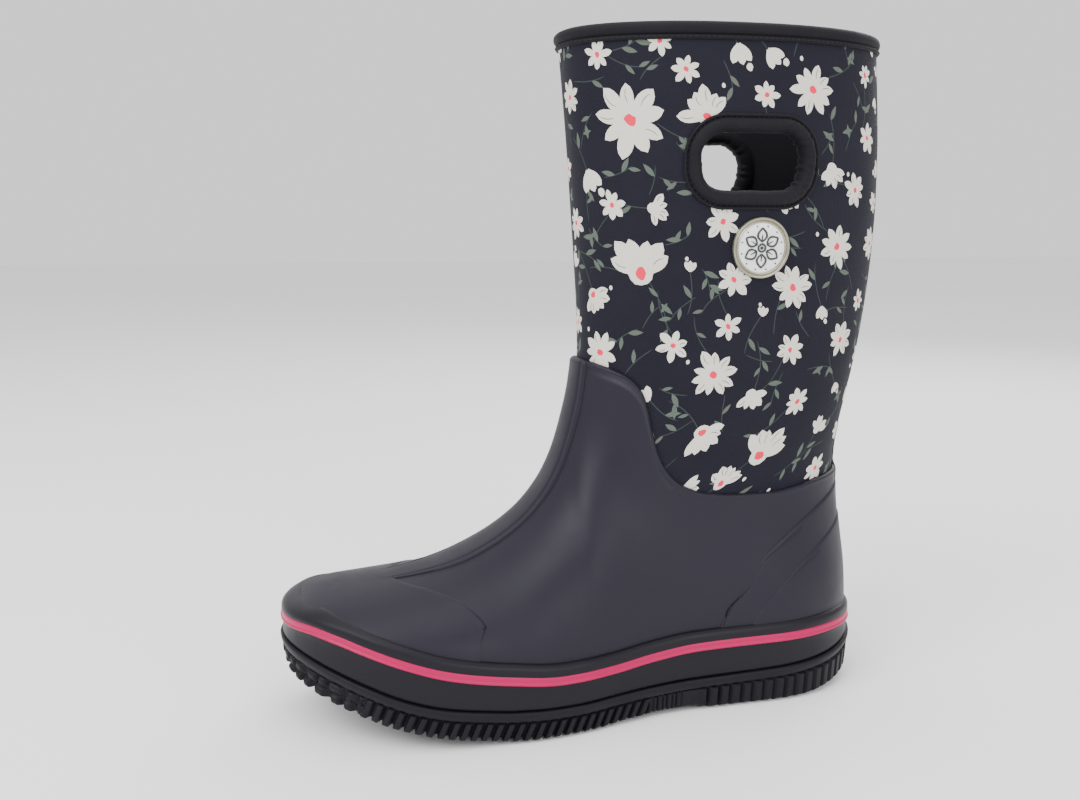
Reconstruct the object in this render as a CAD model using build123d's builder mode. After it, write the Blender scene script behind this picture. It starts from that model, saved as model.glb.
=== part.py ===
from build123d import *
import os
import math
import numpy as np

# ---------------------------------------------------------------- driving dimensions (mm)
TOE_Y, HEEL_Y = -144.5, 150.5      # rand outline, toe and heel ends on the boot's own axis
RIM_Z = 325.0                      # top of the collar
RUBBER_T = 2.2                     # rubber upper wall
NEOPRENE_T = 4.5                   # neoprene sheet, shaft and sock
OVERLAY_T = 0.8                    # toe cap and heel overlays
RIB_T = 1.3                        # raised band down the instep
FOXING_T = 2.6                     # rand wall outside the upper
STRIPE_H, STRIPE_OUT = 4.4, 1.0    # coloured stripe: height, how far it stands proud
BEAD_H, BEAD_OUT = 5.4, 0.5        # bead above the stripe
LIP_OUT, LIP_H = 1.3, 5.0          # outsole lip: how far it stands out, height
LUG_OUT = 0.9                      # tread bars: how far they stand out of the side wall
TREAD_D = 5.0                      # tread depth
BOND = 0.2                         # cement film between bonded skins
SOCK_GAP, RAND_GAP = 0.45, 0.9     # room between the rubber and the sock inside it, and the rand outside it
BOARD_T, SOCK_T, INSOLE_T = 2.0, 3.5, 5.0
HANDLE_Y, HANDLE_Z = 73.2, 263.6   # pull handle centre on the lateral side
HANDLE_L, HANDLE_H = 66.5, 40.5    # outside of the handle binding
HOLE_L, HOLE_H = 51.0, 27.4        # finger opening
MED_SHIFT = 4.0                    # the medial handle sits a little further back
BADGE_Y, BADGE_Z, BADGE_R = 78.3, 224.6, 14.2


DX, DY = 8.0, 5.75          # shift of the design axes to the box centre


def pchip(xs, ys):
    x = np.asarray(xs, float)
    y = np.asarray(ys, float)
    h = np.diff(x)
    d = np.diff(y) / h
    m = np.zeros_like(y)
    for i in range(1, len(x) - 1):
        if d[i - 1] * d[i] > 0:
            w1 = 2 * h[i] + h[i - 1]
            w2 = h[i] + 2 * h[i - 1]
            m[i] = (w1 + w2) / (w1 / d[i - 1] + w2 / d[i])
    m[0], m[-1] = d[0], d[-1]

    def f(q):
        q = np.asarray(q, float)
        k = np.clip(np.searchsorted(x, q) - 1, 0, len(h) - 1)
        t = np.clip((q - x[k]) / h[k], 0, 1)
        return ((2 * t**3 - 3 * t**2 + 1) * y[k] + (t**3 - 2 * t**2 + t) * h[k] * m[k]
                + (-2 * t**3 + 3 * t**2) * y[k + 1] + (t**3 - t**2) * h[k] * m[k + 1])
    return f


def smooth(q, a, b):
    t = np.clip((np.asarray(q, float) - a) / (b - a), 0, 1)
    return t * t * (3 - 2 * t)


# sole plan outline, half widths against length (sqrt-like ends)


def plan(y, side, grow=0.0):
    """half width of the rand outline at y; side +1 lateral, -1 medial"""
    y = np.asarray(y, float)
    t0, t1 = TOE_Y - grow, HEEL_Y + grow
    s = np.clip((y - t0) / (t1 - t0), 0, 1)
    end = np.power(np.clip(1 - np.power(np.clip(1 - (y - t0) / 78.0, 0, 1), 2.25), 0, 1), 1 / 2.15) \
        * np.power(np.clip(1 - np.power(np.clip(1 - (t1 - y) / 62.0, 0, 1), 2.3), 0, 1), 1 / 2.1)
    if side > 0:
        w = LATW(y)
    else:
        w = MEDW(y)
    return (w + grow) * end


LATW = pchip([-160, -120, -90, -60, -35, -12, 10, 28, 48, 70, 95, 120, 170],
             [52, 57, 61, 62.5, 62.5, 60, 54.5, 50.5, 48, 47.5, 47.3, 47, 46])
MEDW = pchip([-160, -120, -90, -65, -40, -15, 10, 35, 60, 90, 120, 170],
             [44, 44.5, 46, 46.5, 44, 39, 34, 31.5, 32.5, 34.5, 35, 35])
# side profile lines: height against length
ZBOT = pchip([-147, -142, -133.6, -125, -108, -90, -73, -55, -36, 0, 15, 48, 62, 112, 128, 142, 156],
             [31, 26, 21.5, 17.6, 12.4, 7.8, 4.2, 1.8, 0, 0, 0.9, 0.9, 0, 0, 1.6, 4.6, 10])
ZLIP = pchip([-148, -140, -126, -109, -93, -76, -59, -41, -15, 20, 60, 99, 126, 140, 156],
             [42.5, 40.5, 35.8, 29.8, 24.4, 20.2, 17.6, 15.6, 14.8, 15.6, 16.6, 18.0, 20.4, 23, 26.5])
ZPINK = pchip([-148, -143, -133, -121, -109, -93, -76, -59, -46, -17, 5, 27, 54, 98, 125, 141, 156],
              [48.5, 49.2, 50.2, 48.2, 44.6, 39.6, 34.6, 31.0, 29.0, 26.2, 26.6, 28.6, 30.6, 31.4, 31.8, 31.4, 29.8])
# front ridge and back curve (y, z)
RIDGE = np.array([(-141.9, 4), (-141.9, 44), (-141.3, 50.5), (-139.3, 55.4), (-135.8, 58.6), (-130.3, 60.6), (-119, 62.6),
                  (-102, 64.8), (-85, 67.2), (-66.5, 71.6), (-46.7, 80.3), (-27.6, 94.0), (-14.5, 111.0), (-8.2, 126),
                  (-3.8, 143), (-0.9, 158), (0.5, 172), (0.2, 190), (-1.4, 218), (-3.6, 250), (-6.2, 284), (-10.2, 325),
                  (-12.6, 345)])
BACK = np.array([(147.9, -6), (147.9, 30), (147.8, 42), (146.8, 60), (144.8, 76), (143.2, 90), (142.4, 104), (142.7, 118),
                 (144.9, 134), (148.6, 153), (152.4, 174), (155.4, 196), (157.6, 220), (158.6, 246), (158.2, 272),
                 (156.6, 298), (154.4, 325), (152.6, 345)])


GROW = -FOXING_T            # the upper's wall stands this far inside the rand outline


def zrand(y):
    return ZPINK(y) + 4.4      # top edge of the stripe


_rz = pchip(RIDGE[1:, 1], RIDGE[1:, 0])      # y of ridge for z
_bz = pchip(BACK[:, 1], BACK[:, 0])
_ry = pchip(RIDGE[1:17, 0], RIDGE[1:17, 1])  # z of ridge for y (rising part)

XC = pchip([0, 60, 120, 200, 345], [8, 7, 5, 3, 3])       # shaft centre in x
WS = pchip([30, 80, 110, 140, 170, 210, 260, 325, 345], [44, 42, 40.5, 40.0, 41.5, 44, 46.2, 47.3, 47.6])


def halfw(y, z, side):
    """half width of the upper, measured from the axis x = 0, at a point of the side view"""
    y = np.asarray(y, float)
    z = np.asarray(z, float)
    # foot: arch over the plan outline
    yb = _bz(np.clip(z, -6, 345))
    ys = y + (HEEL_Y + GROW - yb) * smooth(y, 60, 146)
    z0 = zrand(y) + 3.0
    up = np.maximum(y + 8.2, 0.0)              # behind the instep the foot's arch opens out into the shaft
    zr = np.where(y < -8.2, _ry(np.clip(y, -141.9, -8.2)), np.minimum(126.0 + 3.0 * up + 0.6 * up ** 2, 400.0))
    tau = np.clip((z - z0) / np.maximum(zr - z0, 0.5), 0, 1)
    q = 2.15 + 0.5 * smooth(y, -60, 0)
    arch = np.power(1 - np.power(tau, 2.0), 1 / q)
    taper = 1 - 0.20 * smooth(z - z0, 0, 90)
    foot = plan(ys, side, GROW) * arch * taper
    # shaft: oval section
    fy = _rz(np.clip(z, 44, 345))
    A = (yb - fy) / 2
    yc = (yb + fy) / 2
    t = np.clip(np.abs(y - yc) / A, 0, 1)
    n = 2.15
    shaft = (WS(z)) * np.power(1 - np.power(t, n), 1 / n)
    b = smooth(z + 0.25 * np.clip(y, -60, 20), 62, 150)
    return np.maximum((1 - b) * foot + b * shaft, 0)


def xcen(y, z):
    """local centre line of the section in x"""
    toe = 3.0 * smooth(-y, 60, 146)
    return XC(z) * smooth(z, 90, 200)


# loops around the boot: (front y, z) -> (back y, z)
def _arc(P):
    d = np.r_[0, np.cumsum(np.hypot(*np.diff(P, axis=0).T))]
    return d


_dr = _arc(RIDGE)
_db = _arc(BACK)
RY, RZ = pchip(_dr, RIDGE[:, 0]), pchip(_dr, RIDGE[:, 1])
BY, BZ = pchip(_db, BACK[:, 0]), pchip(_db, BACK[:, 1])
LR, LB = _dr[-1], _db[-1]


# (height on the ridge line as an arc length is found from its height, height on the back line)
_fz = pchip(RIDGE[:, 1], _dr)
_bzz = pchip(BACK[:, 1], _db)
_fy = pchip(RIDGE[2:16, 0], _dr[2:16])
LOOPS = [("z", 8, 0), ("z", 22, 10), ("z", 36, 20), ("z", 46, 32), ("z", 51, 38), ("y", -139.4, 41), ("y", -136, 43.5), ("y", -129, 46.5),
         ("y", -114, 50.5), ("y", -96, 55), ("y", -78, 61), ("y", -61, 68), ("y", -45, 76.5), ("y", -31, 86), ("y", -19.5, 97),
         ("y", -11, 109), ("y", -5.2, 123), ("z", 156, 139), ("z", 176, 159), ("z", 202, 186), ("z", 232, 220),
         ("z", 264, 257), ("z", 296, 293), ("z", 325, 325), ("z", 345, 345)]
FA = np.array([float(_fz(v)) if c == "z" else float(_fy(v)) for c, v, _ in LOOPS])
BA = np.array([float(_bzz(b)) for _, _, b in LOOPS])
SV = np.arange(len(LOOPS), dtype=float)
FAs, BAs = pchip(SV, FA), pchip(SV, BA)


def loop_v(v, n=32):
    """closed loop of 2n points at loop coordinate v; columns x, y, z"""
    F = np.array([float(RY(FAs(v))), float(RZ(FAs(v)))])
    B = np.array([float(BY(BAs(v))), float(BZ(BAs(v)))])
    th = np.linspace(0, math.pi, n + 1)
    a = (1 - np.cos(th)) / 2
    y = F[0] + a * (B[0] - F[0])
    z = F[1] + a * (B[1] - F[1])
    c = xcen(y, z)
    wl = halfw(y, z, 1)
    wm = halfw(y, z, -1)
    wl[0] = wl[-1] = 0
    wm[0] = wm[-1] = 0
    P = np.c_[c + wl, y, z]
    Q = np.c_[c - wm, y, z][1:-1][::-1]
    return np.r_[P, Q]


def grid(vs, n=32):
    return np.array([loop_v(v, n) for v in vs])


def normals(G):
    du = np.roll(G, -1, axis=1) - np.roll(G, 1, axis=1)
    dv = np.empty_like(G)
    dv[1:-1] = G[2:] - G[:-2]
    dv[0] = G[1] - G[0]
    dv[-1] = G[-1] - G[-2]
    N = np.cross(du, dv)
    N /= np.maximum(np.linalg.norm(N, axis=2, keepdims=True), 1e-9)
    return N

# ---------------------------------------------------------------- section tools
def surf(a, v):
    """points of the foot-and-shaft surface; a runs 0..1 over the lateral side from front to back and on
    to 2 over the medial side back to the front, v is the loop coordinate"""
    a = np.asarray(a, float) % 2.0
    v = np.asarray(v, float)
    side = np.where(a <= 1.0, 1, -1)
    th = np.where(a <= 1.0, a, 2.0 - a) * math.pi
    fy, fz = RY(FAs(v)), RZ(FAs(v))
    by, bz = BY(BAs(v)), BZ(BAs(v))
    k = (1 - np.cos(th)) / 2
    y, z = fy + k * (by - fy), fz + k * (bz - fz)
    w = np.where(side > 0, halfw(y, z, 1), halfw(y, z, -1))
    w = np.where((th < 1e-6) | (th > math.pi - 1e-6), 0.0, w)
    return np.stack([xcen(y, z) + side * w, y, z], axis=-1)


def normal(a, v):
    da, dv = 0.01, 0.03
    u = surf(a + da, v) - surf(a - da, v)
    w = surf(a, v + dv) - surf(a, np.maximum(v - dv, 0.0))
    n = np.cross(u, w)
    return n / np.maximum(np.linalg.norm(n, axis=-1, keepdims=True), 1e-9)


VTOP = len(LOOPS) - 1.0
VF = np.linspace(0, VTOP, 481)


def v_where(a, test, last=False):
    """loop coordinate at which test(y, z) of the meridian a turns from negative to positive"""
    P = surf(np.full_like(VF, a), VF)
    f = test(P[:, 1], P[:, 2])
    k = np.where((f[:-1] < 0) & (f[1:] >= 0))[0]
    if not len(k):
        return float(VF[0] if f[0] >= 0 else VF[-1])
    k = int(k[-1] if last else k[0])
    return float(VF[k] + (VF[k + 1] - VF[k]) * f[k] / (f[k] - f[k + 1]))


def pt(p):
    return (float(p[0]) - DX, float(p[1]) - DY, float(p[2]))


def flatten(*rows):
    """moves points onto one plane, which holds the section's length and its thickness"""
    A = np.array([q for row in rows for q in row])
    c = A.mean(0)
    k = len(rows[0])
    n = np.cross(A[k - 1] - A[0], (A[:k] - A[k:]).mean(0))
    n /= np.linalg.norm(n)
    A = A - np.outer((A - c) @ n, n)
    out, k = [], 0
    for row in rows:
        out.append([tuple(float(x) for x in q) for q in A[k:k + len(row)]])
        k += len(row)
    return out


def strip(a, v0, v1, t_in, t_out, m=10, flat=False, end=False):
    """closed section of a skin along the meridian a, from v0 to v1, between two offsets"""
    vs = np.arange(math.ceil((v0 + 0.12) * 2) / 2, v1 - 0.12, 0.5)       # the same rows in every skin
    vs = np.r_[v0, vs, v1] if len(vs) > 1 else np.linspace(v0, v1, 4)
    m = len(vs)
    P = surf(np.full(m, a), vs)
    n = normal(np.full(m, a), vs)
    if flat:                                   # the centre plane's sections stay in it
        n[:, 0] = 0
        n /= np.linalg.norm(n, axis=1, keepdims=True)
    to = np.array([t_out(*p[1:]) for p in P]) if callable(t_out) else np.full(m, t_out)
    ti = np.array([t_in(*p[1:]) for p in P]) if callable(t_in) else np.full(m, t_in)
    O = [pt(q) for q in P + to[:, None] * n]
    I = [pt(q) for q in P + ti[:, None] * n]
    if end and not flat:
        O, I = flatten(O, I)
    with BuildLine() as w:
        Spline(*O)
        Line(O[-1], I[-1])
        Spline(*I[::-1])
        Line(I[0], O[0])
    return w.wire()


def through(secs, ruled=True):
    """solid through closed sections, turned right side out"""
    try:
        body = Solid.make_loft(secs, ruled=ruled)
        if body.volume > 0:
            return body
    except Exception:
        pass
    return Solid.make_loft(secs[::-1], ruled=ruled)


def skin(angles, lo, hi, t_in, t_out, m=10):
    """solid skin between two meridians, bounded below and above by side-view lines"""
    secs = []
    for a in angles:
        v0, v1 = lo(a), hi(a)
        secs.append(strip(a, v0, v1, t_in, t_out, m, flat=(abs(a % 1.0) < 1e-6), end=a in (angles[0], angles[-1])))
    return through(secs, ruled=True)


HALF = [0.0, 0.035, 0.08, 0.13, 0.19, 0.25, 0.31, 0.37, 0.43, 0.5, 0.58, 0.66, 0.74, 0.81, 0.87, 0.92, 0.965, 1.0]


def both_halves(lo, hi, t_in, t_out, m=10):
    return (skin(HALF, lo, hi, t_in, t_out, m), skin([2.0 - a for a in HALF[::-1]], lo, hi, t_in, t_out, m))


def above(line, last=False):
    """v of a meridian where it passes above a side-view height line"""
    return lambda a: v_where(a, lambda y, z: z - line(y), last)


def rim_pt(s, side, grow, z):
    """point of the sole's plan outline; s 0..1 from toe to heel"""
    y = (TOE_Y - grow) + (1 - math.cos(math.pi * s)) / 2 * (HEEL_Y - TOE_Y + 2 * grow)
    x = 0.0 if s in (0.0, 1.0) else side * float(plan(y, side, grow))
    return (x - DX, y - DY, float(z))


RS_N = [k / 24 for k in range(25)]


def rand_ring(profile):
    """ring round the sole; profile(y) gives its corners as (grow, height)"""
    out = []
    for side in (1, -1):
        secs = []
        for s in RS_N:
            y = TOE_Y + (1 - math.cos(math.pi * s)) / 2 * (HEEL_Y - TOE_Y)
            with BuildLine() as w:
                Polyline(*[rim_pt(s, side, g, z) for g, z in profile(y)], close=True)
            secs.append(w.wire())
        out.append(through(secs, ruled=True))
    return out


SLAB = [0.0, 0.02, 0.05, 0.09, 0.14, 0.2, 0.27, 0.34, 0.42, 0.5, 0.58, 0.66, 0.73, 0.8, 0.86, 0.91, 0.95, 0.98, 1.0]


def slab(grow, lo, hi, y0=None, y1=None):
    """solid slab inside the plan outline, between two height lines"""
    y0 = TOE_Y - grow + 0.6 if y0 is None else y0
    y1 = HEEL_Y + grow - 0.6 if y1 is None else y1
    secs = []
    for s in SLAB:
        y = y0 + s * (y1 - y0)
        xl, xm = float(plan(y, 1, grow)), float(plan(y, -1, grow))
        with BuildLine() as w:
            Polyline(*[(x - DX, y - DY, float(z)) for x, z in
                       ((xl, lo(y)), (xl, hi(y)), (-xm, hi(y)), (-xm, lo(y)))], close=True)
        secs.append(w.wire())
    return through(secs, ruled=True)


# height lines of the foot bed
ZFLOOR = pchip([-152, -143, -130, -115, -98, -80, -60, -35, 0, 30, 60, 100, 158],
               [38.5, 36.5, 31.5, 26.5, 21.8, 18.4, 16.2, 15.4, 16.4, 18.6, 20.6, 21.6, 22.0])
TOPLINE = pchip([-160, -30, -4, 8, 17, 22.5, 26.0, 28.2, 30.2, 33.5, 39.0, 46.5, 56.5, 72, 92, 108, 118, 160],
                [173.2, 172.5, 171.5, 168.5, 165.0, 160.5, 154.5, 147.0, 137.0, 125.5, 116.5, 110.6, 107.0, 105.4, 105.2,
                 106.8, 108.4, 112.0])


def zboard(y):
    return ZFLOOR(y) + BOARD_T


def zsock(y):
    return ZFLOOR(y) + BOARD_T + SOCK_T


def zinsole(y):
    return ZFLOOR(y) + BOARD_T + SOCK_T + INSOLE_T


def zbead(y):
    return zrand(y) + BEAD_H


def save(part, name, colour):
    part.label = name
    part.color = Color(*colour)
    export_step(part, f"parts/{name}.step")
    print(name, len(part.solids()), part.is_valid, round(part.volume / 1000, 2), "cm3", flush=True)


os.makedirs("parts", exist_ok=True)
RUBBER, NEO, PINK, DARK = (0.16, 0.15, 0.19), (0.07, 0.07, 0.12), (0.85, 0.05, 0.38), (0.06, 0.05, 0.08)

# ---------------------------------------------------------------- rand, stripe, bead
with BuildPart() as foxing_wall:
    for half in rand_ring(lambda y: [(GROW + RAND_GAP, ZLIP(y) + 2 * BOND), (0, ZLIP(y) + 2 * BOND), (0, ZPINK(y)), (GROW + RAND_GAP, ZPINK(y))]):
        add(half)
save(foxing_wall.part, "foxing_wall", RUBBER)
with BuildPart() as foxing_stripe:
    for half in rand_ring(lambda y: [(GROW + RAND_GAP, ZPINK(y)), (STRIPE_OUT, ZPINK(y)), (STRIPE_OUT, zrand(y)), (GROW + RAND_GAP, zrand(y))]):
        add(half)
save(foxing_stripe.part, "foxing_stripe", PINK)
with BuildPart() as foxing_bead:
    for half in rand_ring(lambda y: [(GROW + RAND_GAP, zrand(y)), (BEAD_OUT, zrand(y)), (BEAD_OUT, zbead(y) - 2.0),
                                     (BEAD_OUT - 1.6, zbead(y)), (GROW + RAND_GAP, zbead(y))]):
        add(half)
save(foxing_bead.part, "foxing_bead", RUBBER)

# ---------------------------------------------------------------- outsole
def base_section(y, solid):
    zb, zl = float(ZBOT(y)) + TREAD_D, float(ZLIP(y))
    zf = min(float(ZFLOOR(y)), zl - 0.3)
    xo, mo = float(plan(y, 1, LIP_OUT)), float(plan(y, -1, LIP_OUT))
    xb, mb = max(xo - LIP_OUT, 0.2), max(mo - LIP_OUT, 0.2)
    xi, mi = float(plan(y, 1, GROW + RAND_GAP)), float(plan(y, -1, GROW + RAND_GAP))
    step = zl - LIP_H
    P = [(xb, zb), (xb, max(step - 1.0, zb + 0.5)), (xo, max(step, zb + 1.0)), (xo, zl)]
    Q = [(-mo, zl), (-mo, max(step, zb + 1.0)), (-mb, max(step - 1.0, zb + 0.5)), (-mb, zb)]
    mid = [] if solid else [(xi, zl), (xi, zf), (-mi, zf), (-mi, zl)]
    with BuildLine() as w:
        Polyline(*[(x - DX, y - DY, z) for x, z in P + mid + Q], close=True)
    return w.wire()


T0, T1 = TOE_Y - LIP_OUT + 0.15, TOE_Y + FOXING_T + 0.6
H0, H1 = HEEL_Y - FOXING_T - 0.6, HEEL_Y + LIP_OUT - 0.15
RIBS = [(-84.0 + 5.0 * k, 3.1) for k in range(22)] + [(50.0 + 5.9 * k, 3.7) for k in range(16)]
with BuildPart() as outsole:
    add(through([base_section(T0 + (T1 - T0) * s, True) for s in (0, 0.12, 0.3, 0.6, 1.0)], ruled=True))
    add(through([base_section(T1 + (H0 - T1) * s, False) for s in SLAB], ruled=True))
    add(through([base_section(H0 + (H1 - H0) * s, True) for s in (0, 0.4, 0.7, 0.88, 1.0)], ruled=True))
    for y, w in RIBS:                          # transverse tread bars, run out over the side wall
        lat, med = float(plan(y, 1, LUG_OUT)), float(plan(y, -1, LUG_OUT))
        lo = min(float(ZBOT(y - w / 2)), float(ZBOT(y + w / 2)))
        hi = float(ZLIP(y)) - LIP_H + 0.3
        with Locations(((lat - med) / 2 - DX, y - DY, (lo + hi) / 2)):
            Box(lat + med, w, hi - lo)
    for k in range(6):                         # studs where the toe turns up
        y = -136.0 + 9.0 * k
        lat, med = float(plan(y, 1, LUG_OUT)), float(plan(y, -1, LUG_OUT))
        lo = float(ZBOT(y))
        n = 5
        for i in range(n):
            x = -med + (lat + med) * (i + 0.5) / n
            with Locations((x - DX, y - DY, lo + 3.6)):
                Box((lat + med) / n - 3.0, 5.6, 6.4)
save(outsole.part, "outsole", RUBBER)

# ---------------------------------------------------------------- inside the sole
SHANK_Y0, SHANK_Y1, SHANK_W, SHANK_T = 20.0, 96.0, 16.0, 1.4


def zunder(y):
    return np.minimum(ZFLOOR(y), ZLIP(y) - 0.3)


with BuildPart() as shank:
    secs = []
    for s in range(9):
        y = SHANK_Y0 + (SHANK_Y1 - SHANK_Y0) * s / 8
        hw = SHANK_W / 2 * (0.55 if s in (0, 8) else 1.0)
        with BuildLine() as w:
            Polyline(*[(6 + x - DX, y - DY, float(ZFLOOR(y)) + dz) for x, dz in
                       ((hw, -SHANK_T - BOND), (hw, -BOND), (-hw, -BOND), (-hw, -SHANK_T - BOND))], close=True)
        secs.append(w.wire())
    add(through(secs, ruled=True))
with BuildPart() as sponge_midsole:
    add(slab(GROW - 8 * BOND, lambda y: zunder(y) + BOND, lambda y: ZFLOOR(y) - BOND, -12.0, 122.0))
    add(shank.part, mode=Mode.SUBTRACT)
save(shank.part, "shank", (0.6, 0.6, 0.62))
save(sponge_midsole.part, "sponge_midsole", (0.45, 0.45, 0.47))
with BuildPart() as lasting_board:
    add(slab(GROW - RUBBER_T - 4 * BOND, lambda y: ZFLOOR(y) + BOND, zboard))
save(lasting_board.part, "lasting_board", (0.55, 0.42, 0.30))
with BuildPart() as sock_sole:
    add(slab(GROW - RUBBER_T - NEOPRENE_T - 1.4, lambda y: zboard(y) + BOND, zsock))
save(sock_sole.part, "sock_sole", NEO)
with BuildPart() as insole:
    add(slab(GROW - RUBBER_T - NEOPRENE_T - 2.8, lambda y: zsock(y) + BOND, zinsole))
save(insole.part, "insole", (0.20, 0.20, 0.24))

# ---------------------------------------------------------------- rubber upper and what is bonded to it
with BuildPart() as rubber_upper:
    for half in both_halves(above(lambda y: ZFLOOR(y) + 5 * BOND), above(TOPLINE), -RUBBER_T, 0.0, 14):
        add(half)
save(rubber_upper.part, "rubber_upper", RUBBER)

STIFF_T = 0.7


def lining_gap(y, z):
    """the sock steps in by the stiffeners' thickness at the toe and the heel"""
    toe = float(np.clip((-72.0 - y) / 6.0, 0, 1))
    heel = float(np.clip((y - 90.0) / 6.0, 0, 1) * np.clip((92.0 - z) / 4.0, 0, 1))
    return -RUBBER_T - SOCK_GAP - (STIFF_T + 2 * BOND) * max(toe, heel)


TOE_LIM, HEEL_LIM, HEEL_TOP = -92.0, 99.0, 84.0
TOE_A = [0.0, 0.035, 0.08, 0.13, 0.19, 0.25]
HEEL_A = [1.0, 0.965, 0.92, 0.87, 0.81]
with BuildPart() as toe_stiffener:
    lo, hi = above(zboard), (lambda a: v_where(a, lambda y, z: y - TOE_LIM))
    for sg in (1, -1):
        A = [sg * a % 2.0 for a in TOE_A if hi(sg * a % 2.0) > lo(sg * a % 2.0) + 0.25]
        add(skin(A, lo, hi, -RUBBER_T - SOCK_GAP - STIFF_T, -RUBBER_T - SOCK_GAP, 8))
save(toe_stiffener.part, "toe_stiffener", (0.75, 0.72, 0.62))
with BuildPart() as heel_stiffener:
    lo, hi = above(zboard), above(lambda y: HEEL_TOP + 0 * y)
    for sg in (1, -1):
        add(skin([a if sg > 0 else 2.0 - a for a in HEEL_A], lo, hi, -RUBBER_T - SOCK_GAP - STIFF_T, -RUBBER_T - SOCK_GAP, 8))
save(heel_stiffener.part, "heel_stiffener", (0.75, 0.72, 0.62))

SEAM_Z = 95.0
with BuildPart() as neoprene_sock:
    for half in both_halves(above(lambda y: zboard(y) + 3 * BOND), above(lambda y: SEAM_Z - BOND + 0 * y), -RUBBER_T - SOCK_GAP - NEOPRENE_T, lining_gap, 14):
        add(half)
save(neoprene_sock.part, "neoprene_sock", NEO)

# toe cap: meridians from the bead up to a curved line across the vamp
CAP = pchip([-70, -58, -44, -30, -15, 0, 15, 30, 44, 62, 75], [-38, -44, -58, -73, -87, -93.5, -88, -75, -62, -48, -42])


def cap_top(a):
    P = surf(np.full_like(VF, a), VF)
    f = P[:, 1] - CAP(P[:, 0])
    k = np.where((f[:-1] < 0) & (f[1:] >= 0))[0]
    return float(VF[k[0]]) if len(k) else float(VF[0])


with BuildPart() as toe_cap:
    lo = above(lambda y: zbead(y) + 0.4)
    A = [0.0, 0.035, 0.08, 0.13, 0.19, 0.25, 0.31, 0.34]
    for sg in (1, -1):
        use = [sg * a % 2.0 for a in A if cap_top(sg * a % 2.0) > lo(sg * a % 2.0) + 0.2]
        add(skin(use, lo, cap_top, 2 * BOND, 2 * BOND + OVERLAY_T, 8))
save(toe_cap.part, "toe_cap", RUBBER)

OUTER_LINE = pchip([55, 60.5, 62.5, 66.5, 72.0, 80.0, 92.0, 106.0, 122.0, 160.0], [20, 28.0, 37.5, 47.0, 57.0, 67.0, 77.5, 87.0, 95.5, 112])
INNER_LINE = pchip([70, 76.5, 79.5, 84.0, 91.0, 100.0, 111.0, 124.0, 160.0], [20, 28.0, 38.5, 46.0, 54.0, 62.5, 71.0, 78.5, 96])
for name, line, t0, t1 in (("heel_counter_outer", OUTER_LINE, 2 * BOND, 2 * BOND + OVERLAY_T),
                           ("heel_counter_inner", INNER_LINE, 3.5 * BOND + OVERLAY_T, 3.5 * BOND + 1.8 * OVERLAY_T)):
    lo, hi = above(lambda y: zbead(y) + 0.4), above(line)
    for flank, sg in (("lateral", 1), ("medial", -1)):
        with BuildPart() as counter:
            use = [a if sg > 0 else 2.0 - a for a in (0.943, 0.92, 0.87, 0.81, 0.74, 0.66, 0.635)]
            use = [a for a in use if hi(a) > lo(a) + 0.2]
            add(skin(use, lo, hi, t0, t1, 6))
        save(counter.part, f"{name}_{flank}", RUBBER)


def across(v, xc, half, t_in, t_out, back=False, m=5, end=True):
    """closed section of a narrow band across the front or back centre line, at loop coordinate v"""
    aa = np.linspace(-0.32, 0.32, 129) + (1.0 if back else 0.0)
    P = surf(aa, np.full_like(aa, v))
    x = P[:, 0] * (1 if not back else -1)
    order = np.argsort(x)
    lim = (-(xc + half), -(xc - half)) if back else (xc - half, xc + half)
    a_s = np.interp(np.linspace(lim[0], lim[1], m), x[order], aa[order])
    P = surf(a_s, np.full(m, v))
    n = normal(a_s, np.full(m, v))
    O = [pt(q) for q in P + t_out * n]
    I = [pt(q) for q in P + t_in * n]
    if end:
        O, I = flatten(O, I)
    with BuildLine() as w:
        Spline(*O)
        Line(O[-1], I[-1])
        Spline(*I[::-1])
        Line(I[0], O[0])
    return w.wire()


RIB_W = 30.0
with BuildPart() as instep_band:
    v_lo = v_where(0.0, lambda y, z: y + 88.0)
    v_hi = v_where(0.06, lambda y, z: z - TOPLINE(y)) - 0.02
    add(through([across(v_lo + (v_hi - v_lo) * k / 14, 0.5, RIB_W / 2, 1.5 * BOND, RIB_T) for k in range(15)], ruled=True))
save(instep_band.part, "instep_band", RUBBER)
BACK_X = 2.0


def v_back(z):
    return v_where(1.0, lambda yy, zz: zz - z)


with BuildPart() as back_stay:
    zs = [44, 52, 62, 72, 82, 92, 101, 108.6]
    add(through([across(v_back(z), BACK_X, 6.0, BOND, 1.6, True) for z in zs], ruled=True))
    add(through([across(v_back(z), BACK_X, 6.0, -RUBBER_T + BOND / 2, 0.4, True) for z in (112.8, 120, 128, 136)], ruled=True))
    add(through([across(v_back(z), BACK_X, 6.0, BOND, 1.6, True) for z in (108.6, 110.6)], ruled=True))
    add(through([across(v_back(z), BACK_X, 6.0, BOND, t, True) for z, t in ((110.6, 1.6), (112.8, 0.4))], ruled=True))
save(back_stay.part, "back_stay", RUBBER)

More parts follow.
